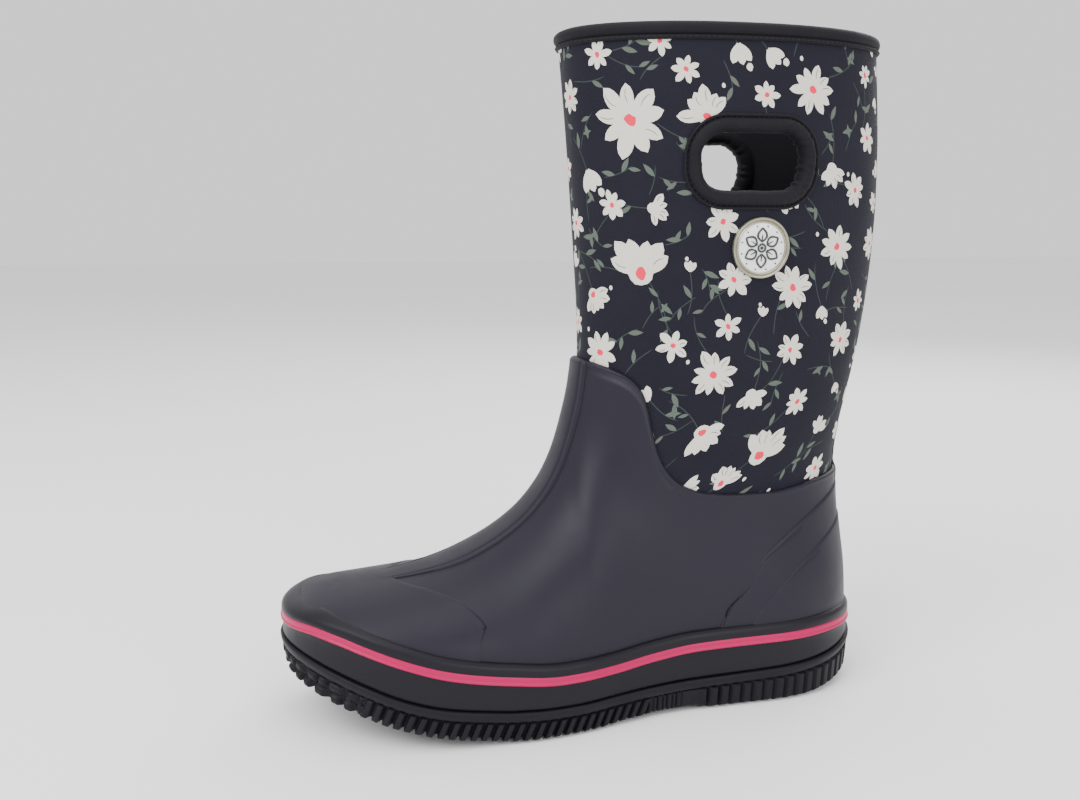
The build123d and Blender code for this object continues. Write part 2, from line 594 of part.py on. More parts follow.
# ---------------------------------------------------------------- neoprene shaft
WALL_TOP = RIM_Z - 1.8
with BuildPart() as neoprene_shaft:
    for half in both_halves(above(lambda y: SEAM_Z + 0 * y), above(lambda y: WALL_TOP + 0 * y), -RUBBER_T - SOCK_GAP - NEOPRENE_T, -RUBBER_T - SOCK_GAP, 14):
        add(half)
    for y, x0, x1 in ((HANDLE_Y, 20.0, 70.0), (HANDLE_Y + MED_SHIFT, -64.0, -16.0)):
        with BuildSketch(Plane.YZ.offset(x0 - DX)) as cut:
            with Locations((y - DY, HANDLE_Z)):
                RectangleRounded(HOLE_L + 8.3, HOLE_H + 8.3, 15.5)
        extrude(cut.sketch, amount=x1 - x0, mode=Mode.SUBTRACT)
save(neoprene_shaft.part, "neoprene_shaft", NEO)

with BuildPart() as back_seam_tape:
    add(through([across(v_back(z), BACK_X + 0.6, 7.0, -RUBBER_T + BOND / 2, -RUBBER_T + 0.9, True)
                         for z in (136.8, 150, 170, 195, 220, 250, 280, RIM_Z - 8.2)], ruled=True))
save(back_seam_tape.part, "back_seam_tape", DARK)

# ---------------------------------------------------------------- collar binding, a channel over the shaft's cut edge
COLLAR_H = 8.0


def shaft_pt(a, z, t):
    v = v_where(a, lambda yy, zz: zz - z)
    P, n = surf(np.array([a]), np.array([v]))[0], normal(np.array([a]), np.array([v]))[0]
    n[2] = 0
    if abs(a % 1.0) < 1e-6:
        n[0] = 0
    n /= np.linalg.norm(n)
    q = P + t * n
    return (float(q[0]) - DX, float(q[1]) - DY, float(z))


with BuildPart() as collar_binding:
    z0, z1, zw = RIM_Z - COLLAR_H, RIM_Z, WALL_TOP + 0.75
    for sg in (1, -1):
        secs = []
        for a in HALF:
            a = a if sg > 0 else 2.0 - a
            with BuildLine() as w:
                Polyline(*[shaft_pt(a, z, t) for z, t in ((z0, -2.1), (z0, -0.9), (z1 - 1, -0.9), (z1, -2.2), (z1, -7.0),
                                                          (z1 - 1, -8.4), (z0, -8.4), (z0, -7.4), (zw, -7.4), (zw, -2.1))],
                         close=True)
            secs.append(w.wire())
        add(through(secs, ruled=True))
save(collar_binding.part, "collar_binding", DARK)

# ---------------------------------------------------------------- handle bindings, channels round the finger openings
def round_rect(l, h, r, n=5):
    """outline of a rounded rectangle, with its outward directions, from the rear mid-point round the top"""
    out = []
    for cx, cy, a0 in ((l / 2 - r, h / 2 - r, 0), (-l / 2 + r, h / 2 - r, 90), (-l / 2 + r, -h / 2 + r, 180), (l / 2 - r, -h / 2 + r, 270)):
        for i in range(n + 1):
            a = math.radians(a0 + 90 * i / n)
            out.append((cx + r * math.cos(a), cy + r * math.sin(a), math.cos(a), math.sin(a)))
    return out


for name, side, yc in (("handle_binding_lateral", 1, HANDLE_Y), ("handle_binding_medial", -1, HANDLE_Y + MED_SHIFT)):
    path = round_rect(HOLE_L, HOLE_H, 11.5)
    path = [(HOLE_L / 2, 0.0, 1.0, 0.0)] + path + [(HOLE_L / 2, 0.0, 1.0, 0.0)]
    half = len(path) // 2

    def wall_x(y, z, t):
        return float(xcen(y, z)) + side * (float(halfw(y, z, side)) + t)

    def channel(p):
        py, pz, ny, nz = p
        k = (HANDLE_L - HOLE_L) / 2
        pts = []
        for d, t in ((0, -7.4), (0, -1.9), (0.9, -0.6), (k - 0.8, -0.6), (k, -1.1), (k, -2.1), (k - 4.0, -2.1),
                     (k - 4.0, -8.0), (k, -8.0), (k, -8.6), (k - 0.8, -9.4), (0.9, -9.4)):
            y, z = yc + py + ny * d, HANDLE_Z + pz + nz * d
            pts.append((wall_x(y, z, t) - DX, y - DY, z))
        with BuildLine() as w:
            Polyline(*pts, close=True)
        return w.wire()

    with BuildPart() as handle:
        add(through([channel(p) for p in path[:half + 1]], ruled=True))
        add(through([channel(p) for p in path[half:]], ruled=True))
    save(handle.part, name, DARK)

# ---------------------------------------------------------------- badge on the lateral side
def shaft_x(y, z):
    return float(xcen(y, z) + halfw(y, z, 1)) - RUBBER_T - BOND


BADGE_N = Vector(1, -(shaft_x(BADGE_Y + 3, BADGE_Z) - shaft_x(BADGE_Y - 3, BADGE_Z)) / 6,
                 -(shaft_x(BADGE_Y, BADGE_Z + 3) - shaft_x(BADGE_Y, BADGE_Z - 3)) / 6).normalized()
SEAT = Plane(origin=(shaft_x(BADGE_Y, BADGE_Z) - DX, BADGE_Y - DY, BADGE_Z), x_dir=(0, 1, 0), z_dir=BADGE_N)
with BuildPart() as badge_bezel:
    with BuildSketch(SEAT.offset(0.2)) as sk:
        Circle(BADGE_R)
    extrude(sk.sketch, amount=1.9)
    with BuildSketch(SEAT.offset(1.1)) as sk:
        Circle(BADGE_R - 2.0)
    extrude(sk.sketch, amount=4.0, mode=Mode.SUBTRACT)
save(badge_bezel.part, "badge_bezel", (0.7, 0.68, 0.6))
with BuildPart() as badge_face:
    with BuildSketch(SEAT.offset(1.1)) as sk:
        Circle(BADGE_R - 2.05)
    extrude(sk.sketch, amount=0.6)
save(badge_face.part, "badge_face", (0.95, 0.95, 0.93))
with BuildPart() as badge_motif:
    # a plain six-petalled rosette with a round centre
    with BuildSketch(SEAT.offset(1.7)) as sk:
        with Locations((0, 0)):
            with PolarLocations(5.4, 6, start_angle=90):
                Ellipse(3.4, 1.7)
            Circle(2.6)
    extrude(sk.sketch, amount=0.5)
save(badge_motif.part, "badge_motif", (0.05, 0.05, 0.06))
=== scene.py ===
import math
import random

import bpy
import numpy as np
from mathutils import Matrix, Vector
from mathutils.geometry import delaunay_2d_cdt


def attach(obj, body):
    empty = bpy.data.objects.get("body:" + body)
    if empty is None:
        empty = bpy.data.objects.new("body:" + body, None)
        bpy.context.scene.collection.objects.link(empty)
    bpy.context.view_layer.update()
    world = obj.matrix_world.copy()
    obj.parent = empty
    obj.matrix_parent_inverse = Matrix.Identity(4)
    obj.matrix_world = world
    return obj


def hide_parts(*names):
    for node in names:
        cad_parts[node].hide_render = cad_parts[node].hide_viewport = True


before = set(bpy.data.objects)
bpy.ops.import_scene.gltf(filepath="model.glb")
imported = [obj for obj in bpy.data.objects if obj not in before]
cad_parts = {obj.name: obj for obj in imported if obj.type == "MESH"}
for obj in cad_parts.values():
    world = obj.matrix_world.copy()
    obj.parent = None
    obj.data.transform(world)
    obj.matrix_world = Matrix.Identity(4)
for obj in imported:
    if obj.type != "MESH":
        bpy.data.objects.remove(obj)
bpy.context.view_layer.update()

# ---------------------------------------------------------------- the boot's own surface, in mm
DX, DY = 8.0, 5.75          # shift of the design axes to the box centre


def pchip(xs, ys):
    x = np.asarray(xs, float)
    y = np.asarray(ys, float)
    h = np.diff(x)
    d = np.diff(y) / h
    m = np.zeros_like(y)
    for i in range(1, len(x) - 1):
        if d[i - 1] * d[i] > 0:
            w1 = 2 * h[i] + h[i - 1]
            w2 = h[i] + 2 * h[i - 1]
            m[i] = (w1 + w2) / (w1 / d[i - 1] + w2 / d[i])
    m[0], m[-1] = d[0], d[-1]

    def f(q):
        q = np.asarray(q, float)
        k = np.clip(np.searchsorted(x, q) - 1, 0, len(h) - 1)
        t = np.clip((q - x[k]) / h[k], 0, 1)
        return ((2 * t**3 - 3 * t**2 + 1) * y[k] + (t**3 - 2 * t**2 + t) * h[k] * m[k]
                + (-2 * t**3 + 3 * t**2) * y[k + 1] + (t**3 - t**2) * h[k] * m[k + 1])
    return f


def smooth(q, a, b):
    t = np.clip((np.asarray(q, float) - a) / (b - a), 0, 1)
    return t * t * (3 - 2 * t)


# sole plan outline, half widths against length (sqrt-like ends)
TOE_Y, HEEL_Y = -144.5, 150.5


def plan(y, side, grow=0.0):
    """half width of the rand outline at y; side +1 lateral, -1 medial"""
    y = np.asarray(y, float)
    t0, t1 = TOE_Y - grow, HEEL_Y + grow
    s = np.clip((y - t0) / (t1 - t0), 0, 1)
    end = np.power(np.clip(1 - np.power(np.clip(1 - (y - t0) / 78.0, 0, 1), 2.25), 0, 1), 1 / 2.15) \
        * np.power(np.clip(1 - np.power(np.clip(1 - (t1 - y) / 62.0, 0, 1), 2.3), 0, 1), 1 / 2.1)
    if side > 0:
        w = LATW(y)
    else:
        w = MEDW(y)
    return (w + grow) * end


LATW = pchip([-160, -120, -90, -60, -35, -12, 10, 28, 48, 70, 95, 120, 170],
             [52, 57, 61, 62.5, 62.5, 60, 54.5, 50.5, 48, 47.5, 47.3, 47, 46])
MEDW = pchip([-160, -120, -90, -65, -40, -15, 10, 35, 60, 90, 120, 170],
             [44, 44.5, 46, 46.5, 44, 39, 34, 31.5, 32.5, 34.5, 35, 35])
# side profile lines: height against length
ZBOT = pchip([-147, -142, -133.6, -125, -108, -90, -73, -55, -36, 0, 15, 48, 62, 112, 128, 142, 156],
             [31, 26, 21.5, 17.6, 12.4, 7.8, 4.2, 1.8, 0, 0, 0.9, 0.9, 0, 0, 1.6, 4.6, 10])
ZLIP = pchip([-148, -140, -126, -109, -93, -76, -59, -41, -15, 20, 60, 99, 126, 140, 156],
             [42.5, 40.5, 35.8, 29.8, 24.4, 20.2, 17.6, 15.6, 14.8, 15.6, 16.6, 18.0, 20.4, 23, 26.5])
ZPINK = pchip([-148, -143, -133, -121, -109, -93, -76, -59, -46, -17, 5, 27, 54, 98, 125, 141, 156],
              [48.5, 49.2, 50.2, 48.2, 44.6, 39.6, 34.6, 31.0, 29.0, 26.2, 26.6, 28.6, 30.6, 31.4, 31.8, 31.4, 29.8])
# front ridge and back curve (y, z)
RIDGE = np.array([(-141.9, 4), (-141.9, 44), (-141.3, 50.5), (-139.3, 55.4), (-135.8, 58.6), (-130.3, 60.6), (-119, 62.6),
                  (-102, 64.8), (-85, 67.2), (-66.5, 71.6), (-46.7, 80.3), (-27.6, 94.0), (-14.5, 111.0), (-8.2, 126),
                  (-3.8, 143), (-0.9, 158), (0.5, 172), (0.2, 190), (-1.4, 218), (-3.6, 250), (-6.2, 284), (-10.2, 325),
                  (-12.6, 345)])
BACK = np.array([(147.9, -6), (147.9, 30), (147.8, 42), (146.8, 60), (144.8, 76), (143.2, 90), (142.4, 104), (142.7, 118),
                 (144.9, 134), (148.6, 153), (152.4, 174), (155.4, 196), (157.6, 220), (158.6, 246), (158.2, 272),
                 (156.6, 298), (154.4, 325), (152.6, 345)])
RIM_Z = 325.0


GROW = -2.6                # the upper's wall against the rand outline


def zrand(y):
    return ZPINK(y) + 4.4      # top edge of the stripe


_rz = pchip(RIDGE[1:, 1], RIDGE[1:, 0])      # y of ridge for z
_bz = pchip(BACK[:, 1], BACK[:, 0])
_ry = pchip(RIDGE[1:17, 0], RIDGE[1:17, 1])  # z of ridge for y (rising part)

XC = pchip([0, 60, 120, 200, 345], [8, 7, 5, 3, 3])       # shaft centre in x
WS = pchip([30, 80, 110, 140, 170, 210, 260, 325, 345], [44, 42, 40.5, 40.0, 41.5, 44, 46.2, 47.3, 47.6])


def halfw(y, z, side):
    """half width of the upper, measured from the axis x = 0, at a point of the side view"""
    y = np.asarray(y, float)
    z = np.asarray(z, float)
    # foot: arch over the plan outline
    yb = _bz(np.clip(z, -6, 345))
    ys = y + (HEEL_Y + GROW - yb) * smooth(y, 60, 146)
    z0 = zrand(y) + 3.0
    up = np.maximum(y + 8.2, 0.0)              # behind the instep the foot's arch opens out into the shaft
    zr = np.where(y < -8.2, _ry(np.clip(y, -141.9, -8.2)), np.minimum(126.0 + 3.0 * up + 0.6 * up ** 2, 400.0))
    tau = np.clip((z - z0) / np.maximum(zr - z0, 0.5), 0, 1)
    q = 2.15 + 0.5 * smooth(y, -60, 0)
    arch = np.power(1 - np.power(tau, 2.0), 1 / q)
    taper = 1 - 0.20 * smooth(z - z0, 0, 90)
    foot = plan(ys, side, GROW) * arch * taper
    # shaft: oval section
    fy = _rz(np.clip(z, 44, 345))
    A = (yb - fy) / 2
    yc = (yb + fy) / 2
    t = np.clip(np.abs(y - yc) / A, 0, 1)
    n = 2.15
    shaft = (WS(z)) * np.power(1 - np.power(t, n), 1 / n)
    b = smooth(z + 0.25 * np.clip(y, -60, 20), 62, 150)
    return np.maximum((1 - b) * foot + b * shaft, 0)


def xcen(y, z):
    """local centre line of the section in x"""
    toe = 3.0 * smooth(-y, 60, 146)
    return XC(z) * smooth(z, 90, 200)


# loops around the boot: (front y, z) -> (back y, z)
def _arc(P):
    d = np.r_[0, np.cumsum(np.hypot(*np.diff(P, axis=0).T))]
    return d


_dr = _arc(RIDGE)
_db = _arc(BACK)
RY, RZ = pchip(_dr, RIDGE[:, 0]), pchip(_dr, RIDGE[:, 1])
BY, BZ = pchip(_db, BACK[:, 0]), pchip(_db, BACK[:, 1])
LR, LB = _dr[-1], _db[-1]


# (height on the ridge line as an arc length is found from its height, height on the back line)
_fz = pchip(RIDGE[:, 1], _dr)
_bzz = pchip(BACK[:, 1], _db)
_fy = pchip(RIDGE[2:16, 0], _dr[2:16])
LOOPS = [("z", 8, 0), ("z", 22, 10), ("z", 36, 20), ("z", 46, 32), ("z", 51, 38), ("y", -139.4, 41), ("y", -136, 43.5), ("y", -129, 46.5),
         ("y", -114, 50.5), ("y", -96, 55), ("y", -78, 61), ("y", -61, 68), ("y", -45, 76.5), ("y", -31, 86), ("y", -19.5, 97),
         ("y", -11, 109), ("y", -5.2, 123), ("z", 156, 139), ("z", 176, 159), ("z", 202, 186), ("z", 232, 220),
         ("z", 264, 257), ("z", 296, 293), ("z", 325, 325), ("z", 345, 345)]
FA = np.array([float(_fz(v)) if c == "z" else float(_fy(v)) for c, v, _ in LOOPS])
BA = np.array([float(_bzz(b)) for _, _, b in LOOPS])
SV = np.arange(len(LOOPS), dtype=float)
FAs, BAs = pchip(SV, FA), pchip(SV, BA)


def loop_v(v, n=32):
    """closed loop of 2n points at loop coordinate v; columns x, y, z"""
    F = np.array([float(RY(FAs(v))), float(RZ(FAs(v)))])
    B = np.array([float(BY(BAs(v))), float(BZ(BAs(v)))])
    th = np.linspace(0, math.pi, n + 1)
    a = (1 - np.cos(th)) / 2
    y = F[0] + a * (B[0] - F[0])
    z = F[1] + a * (B[1] - F[1])
    c = xcen(y, z)
    wl = halfw(y, z, 1)
    wm = halfw(y, z, -1)
    wl[0] = wl[-1] = 0
    wm[0] = wm[-1] = 0
    P = np.c_[c + wl, y, z]
    Q = np.c_[c - wm, y, z][1:-1][::-1]
    return np.r_[P, Q]


def grid(vs, n=32):
    return np.array([loop_v(v, n) for v in vs])


def normals(G):
    du = np.roll(G, -1, axis=1) - np.roll(G, 1, axis=1)
    dv = np.empty_like(G)
    dv[1:-1] = G[2:] - G[:-2]
    dv[0] = G[1] - G[0]
    dv[-1] = G[-1] - G[-2]
    N = np.cross(du, dv)
    N /= np.maximum(np.linalg.norm(N, axis=2, keepdims=True), 1e-9)
    return N


def surf(a, v):
    """points of the foot-and-shaft surface; a runs 0..1 over the lateral side from front to back and on
    to 2 over the medial side back to the front, v is the loop coordinate"""
    a = np.asarray(a, float) % 2.0
    v = np.asarray(v, float)
    side = np.where(a <= 1.0, 1, -1)
    th = np.where(a <= 1.0, a, 2.0 - a) * math.pi
    fy, fz = RY(FAs(v)), RZ(FAs(v))
    by, bz = BY(BAs(v)), BZ(BAs(v))
    k = (1 - np.cos(th)) / 2
    y, z = fy + k * (by - fy), fz + k * (bz - fz)
    w = np.where(side > 0, halfw(y, z, 1), halfw(y, z, -1))
    w = np.where((th < 1e-6) | (th > math.pi - 1e-6), 0.0, w)
    return np.stack([xcen(y, z) + side * w, y, z], axis=-1)


def normal(a, v):
    da, dv = 0.01, 0.03
    u = surf(a + da, v) - surf(a - da, v)
    w = surf(a, v + dv) - surf(a, np.maximum(v - dv, 0.0))
    n = np.cross(u, w)
    return n / np.maximum(np.linalg.norm(n, axis=-1, keepdims=True), 1e-9)


VTOP = len(LOOPS) - 1.0
VF = np.linspace(0, VTOP, 481)


# lines on the surface, as in the CAD source
TOPLINE = pchip([-160, -30, -4, 8, 17, 22.5, 26.0, 28.2, 30.2, 33.5, 39.0, 46.5, 56.5, 72, 92, 108, 118, 160],
                [173.2, 172.5, 171.5, 168.5, 165.0, 160.5, 154.5, 147.0, 137.0, 125.5, 116.5, 110.6, 107.0, 105.4, 105.2,
                 106.8, 108.4, 112.0])
ZFLOOR = pchip([-152, -143, -130, -115, -98, -80, -60, -35, 0, 30, 60, 100, 158],
               [38.5, 36.5, 31.5, 26.5, 21.8, 18.4, 16.2, 15.4, 16.4, 18.6, 20.6, 21.6, 22.0])
CAP = pchip([-70, -58, -44, -30, -15, 0, 15, 30, 44, 62, 75], [-38, -44, -58, -73, -87, -93.5, -88, -75, -62, -48, -42])
OUTER_LINE = pchip([55, 60.5, 62.5, 66.5, 72.0, 80.0, 92.0, 106.0, 122.0, 160.0],
                   [20, 28.0, 37.5, 47.0, 57.0, 67.0, 77.5, 87.0, 95.5, 112])
INNER_LINE = pchip([70, 76.5, 79.5, 84.0, 91.0, 100.0, 111.0, 124.0, 160.0],
                   [20, 28.0, 38.5, 46.0, 54.0, 62.5, 71.0, 78.5, 96])
BACK_X = 2.0
HANDLE_Y, HANDLE_Z, HANDLE_L, HANDLE_H, HOLE_L, HOLE_H = 73.2, 263.6, 66.5, 40.5, 51.0, 27.4
BADGE_Y, BADGE_Z, BADGE_R = 78.3, 224.6, 14.2
VF = np.linspace(0.0, 23.6, 473)
RNG = random.Random(7)


def yz(a, v):
    a = np.asarray(a, float) % 2.0
    th = np.where(a <= 1.0, a, 2.0 - a) * math.pi
    k = (1 - np.cos(th)) / 2
    fy, fz, by, bz = RY(FAs(v)), RZ(FAs(v)), BY(BAs(v)), BZ(BAs(v))
    return fy + k * (by - fy), fz + k * (bz - fz)


def crossing(f):
    """first row (fraction) where f, columns by VF, turns from negative to positive"""
    up = (f[:, :-1] < 0) & (f[:, 1:] >= 0)
    k = np.argmax(up, axis=1)
    r = np.arange(len(f))
    v = VF[k] + (VF[1] - VF[0]) * f[r, k] / (f[r, k] - f[r, k + 1] + 1e-12)
    v = np.where(up.any(axis=1), v, np.where(f[:, 0] >= 0, VF[0], VF[-1]))
    return v


def v_line(a, line):
    """loop coordinate where the meridians a rise above a side-view line"""
    A, V = np.meshgrid(np.atleast_1d(a), VF, indexing="ij")
    y, z = yz(A, V)
    return crossing(z - line(y))


def v_cap(a):
    A, V = np.meshgrid(np.atleast_1d(a), VF[:280], indexing="ij")
    P = surf(A.ravel(), V.ravel()).reshape(A.shape + (3,))
    f = P[..., 1] - CAP(P[..., 0])
    up = (f[:, :-1] < 0) & (f[:, 1:] >= 0)
    k = np.argmax(up, axis=1)
    r = np.arange(len(f))
    step = VF[1] - VF[0]
    v = VF[k] + step * f[r, k] / (f[r, k] - f[r, k + 1] + 1e-12)
    return np.where(up.any(axis=1), v, 0.0)


def W(P):
    return (np.asarray(P, float) - np.array([DX, DY, 0.0])) * 0.001


# ---------------------------------------------------------------- mesh helpers
def make(name, verts, faces, mat, sharp=None, nodes=(), slot=None, uv=None, colour=None, normals=None, idx=None):
    me = bpy.data.meshes.new(name)
    me.from_pydata(W(verts).tolist(), [], [list(map(int, f)) for f in faces])
    me.update()
    for m in (mat if isinstance(mat, (list, tuple)) else [mat]):
        me.materials.append(m)
    if idx is not None:
        me.polygons.foreach_set("material_index", np.asarray(idx, np.int32))
    me.shade_smooth()
    if sharp:
        me.set_sharp_from_angle(angle=math.radians(sharp))
    if uv is not None:
        layer = me.uv_layers.new(name="fabric")
        loops = np.zeros(len(me.loops), np.int32)
        me.loops.foreach_get("vertex_index", loops)
        layer.data.foreach_set("uv", (np.asarray(uv, float)[loops] * 0.001).astype(np.float32).ravel())
    if colour is not None:                      # one colour per face
        att = me.color_attributes.new("print", "FLOAT_COLOR", "CORNER")
        n = np.zeros(len(me.polygons), np.int32)
        me.polygons.foreach_get("loop_total", n)
        c = np.repeat(np.c_[np.asarray(colour, float), np.ones(len(colour))], n, axis=0)
        att.data.foreach_set("color", c.astype(np.float32).ravel())
    if normals is not None:
        me.normals_split_custom_set_from_vertices([tuple(q) for q in normals])
    ob = bpy.data.objects.new(name, me)
    bpy.context.scene.collection.objects.link(ob)
    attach(ob, "root")
    if nodes:
        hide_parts(*nodes)
    return ob


def tube_faces(n, m, ring, base=0, caps=True):
    """quads of n stations with closed profiles of m points"""
    i = np.arange(n if ring else n - 1)
    j = np.arange(m)
    I, J = np.meshgrid(i, j, indexing="ij")
    I, J = I.ravel(), J.ravel()
    I2, J2 = (I + 1) % n, (J + 1) % m
    F = np.stack([I * m + J, I2 * m + J, I2 * m + J2, I * m + J2], 1) + base
    F = F.tolist()
    if not ring and caps:
        F.append([base + k for k in range(m)])
        F.append([base + (n - 1) * m + k for k in range(m)][::-1])
    return F


def tube(name, S, mat, ring=True, sharp=40, flip=False, **kw):
    """solid swept through closed sections S[n, m, 3]"""
    n, m = S.shape[:2]
    F = tube_faces(n, m, ring)
    if flip:
        F = [f[::-1] for f in F]
    return make(name, S.reshape(-1, 3), F, mat, sharp=sharp, **kw)


def spaced(a0, a1, vfun, step=1.5, widest=1 / 128):
    """meridians between a0 and a1, closer together where the boundary line runs steeply across them"""
    d = np.linspace(a0, a1, 1201)
    P = surf(d, vfun(d))
    arc = np.linalg.norm(np.diff(P, axis=0), axis=1)
    w = np.maximum(arc / step, np.diff(d) / widest)
    w = np.minimum(w, 0.5)
    c = np.r_[0, np.cumsum(w)]
    n = max(4, int(math.ceil(c[-1])))
    return np.interp(np.linspace(0, c[-1], n + 1), c, d)


def line_distance(P, L):
    """distance of points P[n, 3] to the polyline L"""
    out = np.full(len(P), 1e9)
    A, B = L[:-1], L[1:]
    D = B - A
    dd = np.maximum((D * D).sum(1), 1e-9)
    for s in range(0, len(P), 3000):
        Q = P[s:s + 3000, None, :]
        t = np.clip(((Q - A) * D).sum(2) / dd, 0, 1)
        out[s:s + 3000] = np.sqrt(((Q - A - t[..., None] * D) ** 2).sum(2).min(1))
    return out


def rows_for(a, v0, v1, n, edges=(True, True)):
    """row loop coordinates: n even steps, and close rows near the open edges; rows[n, len(a)]"""
    L = np.linalg.norm(np.diff(surf(np.tile(a, (9, 1)), v0 + (v1 - v0) * np.linspace(0, 1, 9)[:, None]), axis=0), axis=2).sum(0)
    near = np.array([0, 0.06, 0.16, 0.32, 0.55, 0.85, 1.25, 1.8])
    t = np.linspace(0, 1, n)[:, None] * np.ones_like(L)[None, :]
    lo = near[:, None] / np.maximum(L, 4.0)
    parts = []
    if edges[0]:
        parts.append(lo)
        t = lo[-1] + (1 - lo[-1]) * t
    if edges[1]:
        t = t * (1 - lo[-1]) if not edges[0] else lo[-1] + (1 - 2 * lo[-1]) * np.linspace(0, 1, n)[:, None]
        parts.append(t)
        parts.append(1 - lo[::-1])
    else:
        parts.append(t)
    T = np.concatenate(parts)
    return v0 + (v1 - v0) * T


def bevel(d, r):
    q = np.clip(d / r, 0, 1)
    return np.sqrt(np.clip(1 - (1 - q) ** 2, 0, 1))


def skin(name, a, v0, v1, t_in, t_out, mat, n=40, edges=(False, True), r=0.9, ring=True, line_at=("top",), lip=0.0, fade=None,
         bottom_in=True, **kw):
    """closed skin over the surface with rounded cut edges; a columns, v0/v1 loop coordinates"""
    V = rows_for(a, v0, v1, n, edges)
    A = np.tile(a, (len(V), 1))
    P = surf(A.ravel(), V.ravel())
    N = normal(A.ravel(), V.ravel())
    d = np.full(len(P), 1e9)
    lines = []
    if "top" in line_at:
        lines.append(surf(a, v1))
    if "bottom" in line_at:
        lines.append(surf(a, v0))
    if "ends" in line_at:
        for k in (0, -1):
            lines.append(surf(np.full(40, a[k]), np.linspace(v0[k], v1[k], 40)))
    for L in lines:
        if ring:
            L = np.r_[L, L[:1]]
        d = np.minimum(d, line_distance(P, L))
    h = bevel(d, r)
    out = t_in + (t_out - t_in) * h + lip * np.exp(-((d - 1.3) / 0.7) ** 2) * (d < 6)
    if fade is not None:
        out = t_in + (out - t_in) * fade(P)
    O = (P + out[:, None] * N).reshape(V.shape + (3,))
    I = (P + np.minimum(t_in, out)[:, None] * N).reshape(V.shape + (3,))
    keep = I[1:-1][::max(1, 3)]
    S = np.concatenate([O, keep[::-1]], axis=0)          # rows up the outside, down the inside
    S = S.transpose(1, 0, 2)
    Z = np.where((d < 2.6)[:, None], 0.0, N).reshape(V.shape + (3,))      # away from the cut edges the surface's own direction
    K = np.zeros_like(keep)
    M = np.concatenate([Z, K], axis=0).transpose(1, 0, 2)
    M[:, 0] = 0
    return tube(name, S, mat, ring=ring, sharp=50, normals=M.reshape(-1, 3), **kw)


# ---------------------------------------------------------------- materials
def nodes_of(m):
    m.use_nodes = True
    t = m.node_tree
    return t, t.nodes["Principled BSDF"]


def add_node(t, kind, **kw):
    n = t.nodes.new(kind)
    for k, v in kw.items():
        if k in n.inputs:
            n.inputs[k].default_value = v
        else:
            setattr(n, k, v)
    return n


def material(name, colour, rough=0.5, grain=0.0008, bump=0.1, vary=0.08, tint=0.12, sheen=0.0, coat=0.0, metal=0.0, fine=None,
             spec=0.5, depth=0.0002):
    m = bpy.data.materials.new(name)
    t, b = nodes_of(m)
    co = add_node(t, "ShaderNodeTexCoord")
    n1 = add_node(t, "ShaderNodeTexNoise", Scale=1.0 / grain, Detail=3.0, Roughness=0.6)
    n2 = add_node(t, "ShaderNodeTexNoise", Scale=38.0, Detail=4.0, Roughness=0.55)
    t.links.new(co.outputs["Object"], n1.inputs["Vector"])
    t.links.new(co.outputs["Object"], n2.inputs["Vector"])
    mr = add_node(t, "ShaderNodeMapRange")
    mr.inputs["From Min"].default_value, mr.inputs["From Max"].default_value = 0.3, 0.7
    mr.inputs["To Min"].default_value, mr.inputs["To Max"].default_value = max(rough - vary, 0.02), min(rough + vary, 1.0)
    t.links.new(n2.outputs["Fac"], mr.inputs["Value"])
    t.links.new(mr.outputs["Result"], b.inputs["Roughness"])
    mix = add_node(t, "ShaderNodeMix", data_type="RGBA")
    mix.inputs[6].default_value = (*[c * (1 - tint) for c in colour], 1)
    mix.inputs[7].default_value = (*[min(c * (1 + tint), 1) for c in colour], 1)
    t.links.new(n2.outputs["Fac"], mix.inputs[0])
    t.links.new(mix.outputs[2], b.inputs["Base Color"])
    bm = add_node(t, "ShaderNodeBump", Strength=bump, Distance=depth)
    height = n1.outputs["Fac"]
    if fine == "knit":
        w1 = add_node(t, "ShaderNodeTexWave", Scale=1400.0 / 6.2832, Distortion=0.6)
        w1.bands_direction = "Z"
        w2 = add_node(t, "ShaderNodeTexWave", Scale=1600.0 / 6.2832, Distortion=0.6)
        w2.bands_direction = "DIAGONAL"
        t.links.new(co.outputs["Object"], w1.inputs["Vector"])
        t.links.new(co.outputs["Object"], w2.inputs["Vector"])
        mm = add_node(t, "ShaderNodeMath", operation="MULTIPLY")
        t.links.new(w1.outputs["Fac"], mm.inputs[0])
        t.links.new(w2.outputs["Fac"], mm.inputs[1])
        aa = add_node(t, "ShaderNodeMath", operation="ADD")
        t.links.new(mm.outputs[0], aa.inputs[0])
        t.links.new(n1.outputs["Fac"], aa.inputs[1])
        height = aa.outputs[0]
    t.links.new(height, bm.inputs["Height"])
    t.links.new(bm.outputs["Normal"], b.inputs["Normal"])
    b.inputs["Metallic"].default_value = metal
    b.inputs["Specular IOR Level"].default_value = spec
    b.inputs["Sheen Weight"].default_value = sheen
    b.inputs["Sheen Roughness"].default_value = 0.45
    b.inputs["Coat Weight"].default_value = coat
    b.inputs["Coat Roughness"].default_value = 0.12
    return m


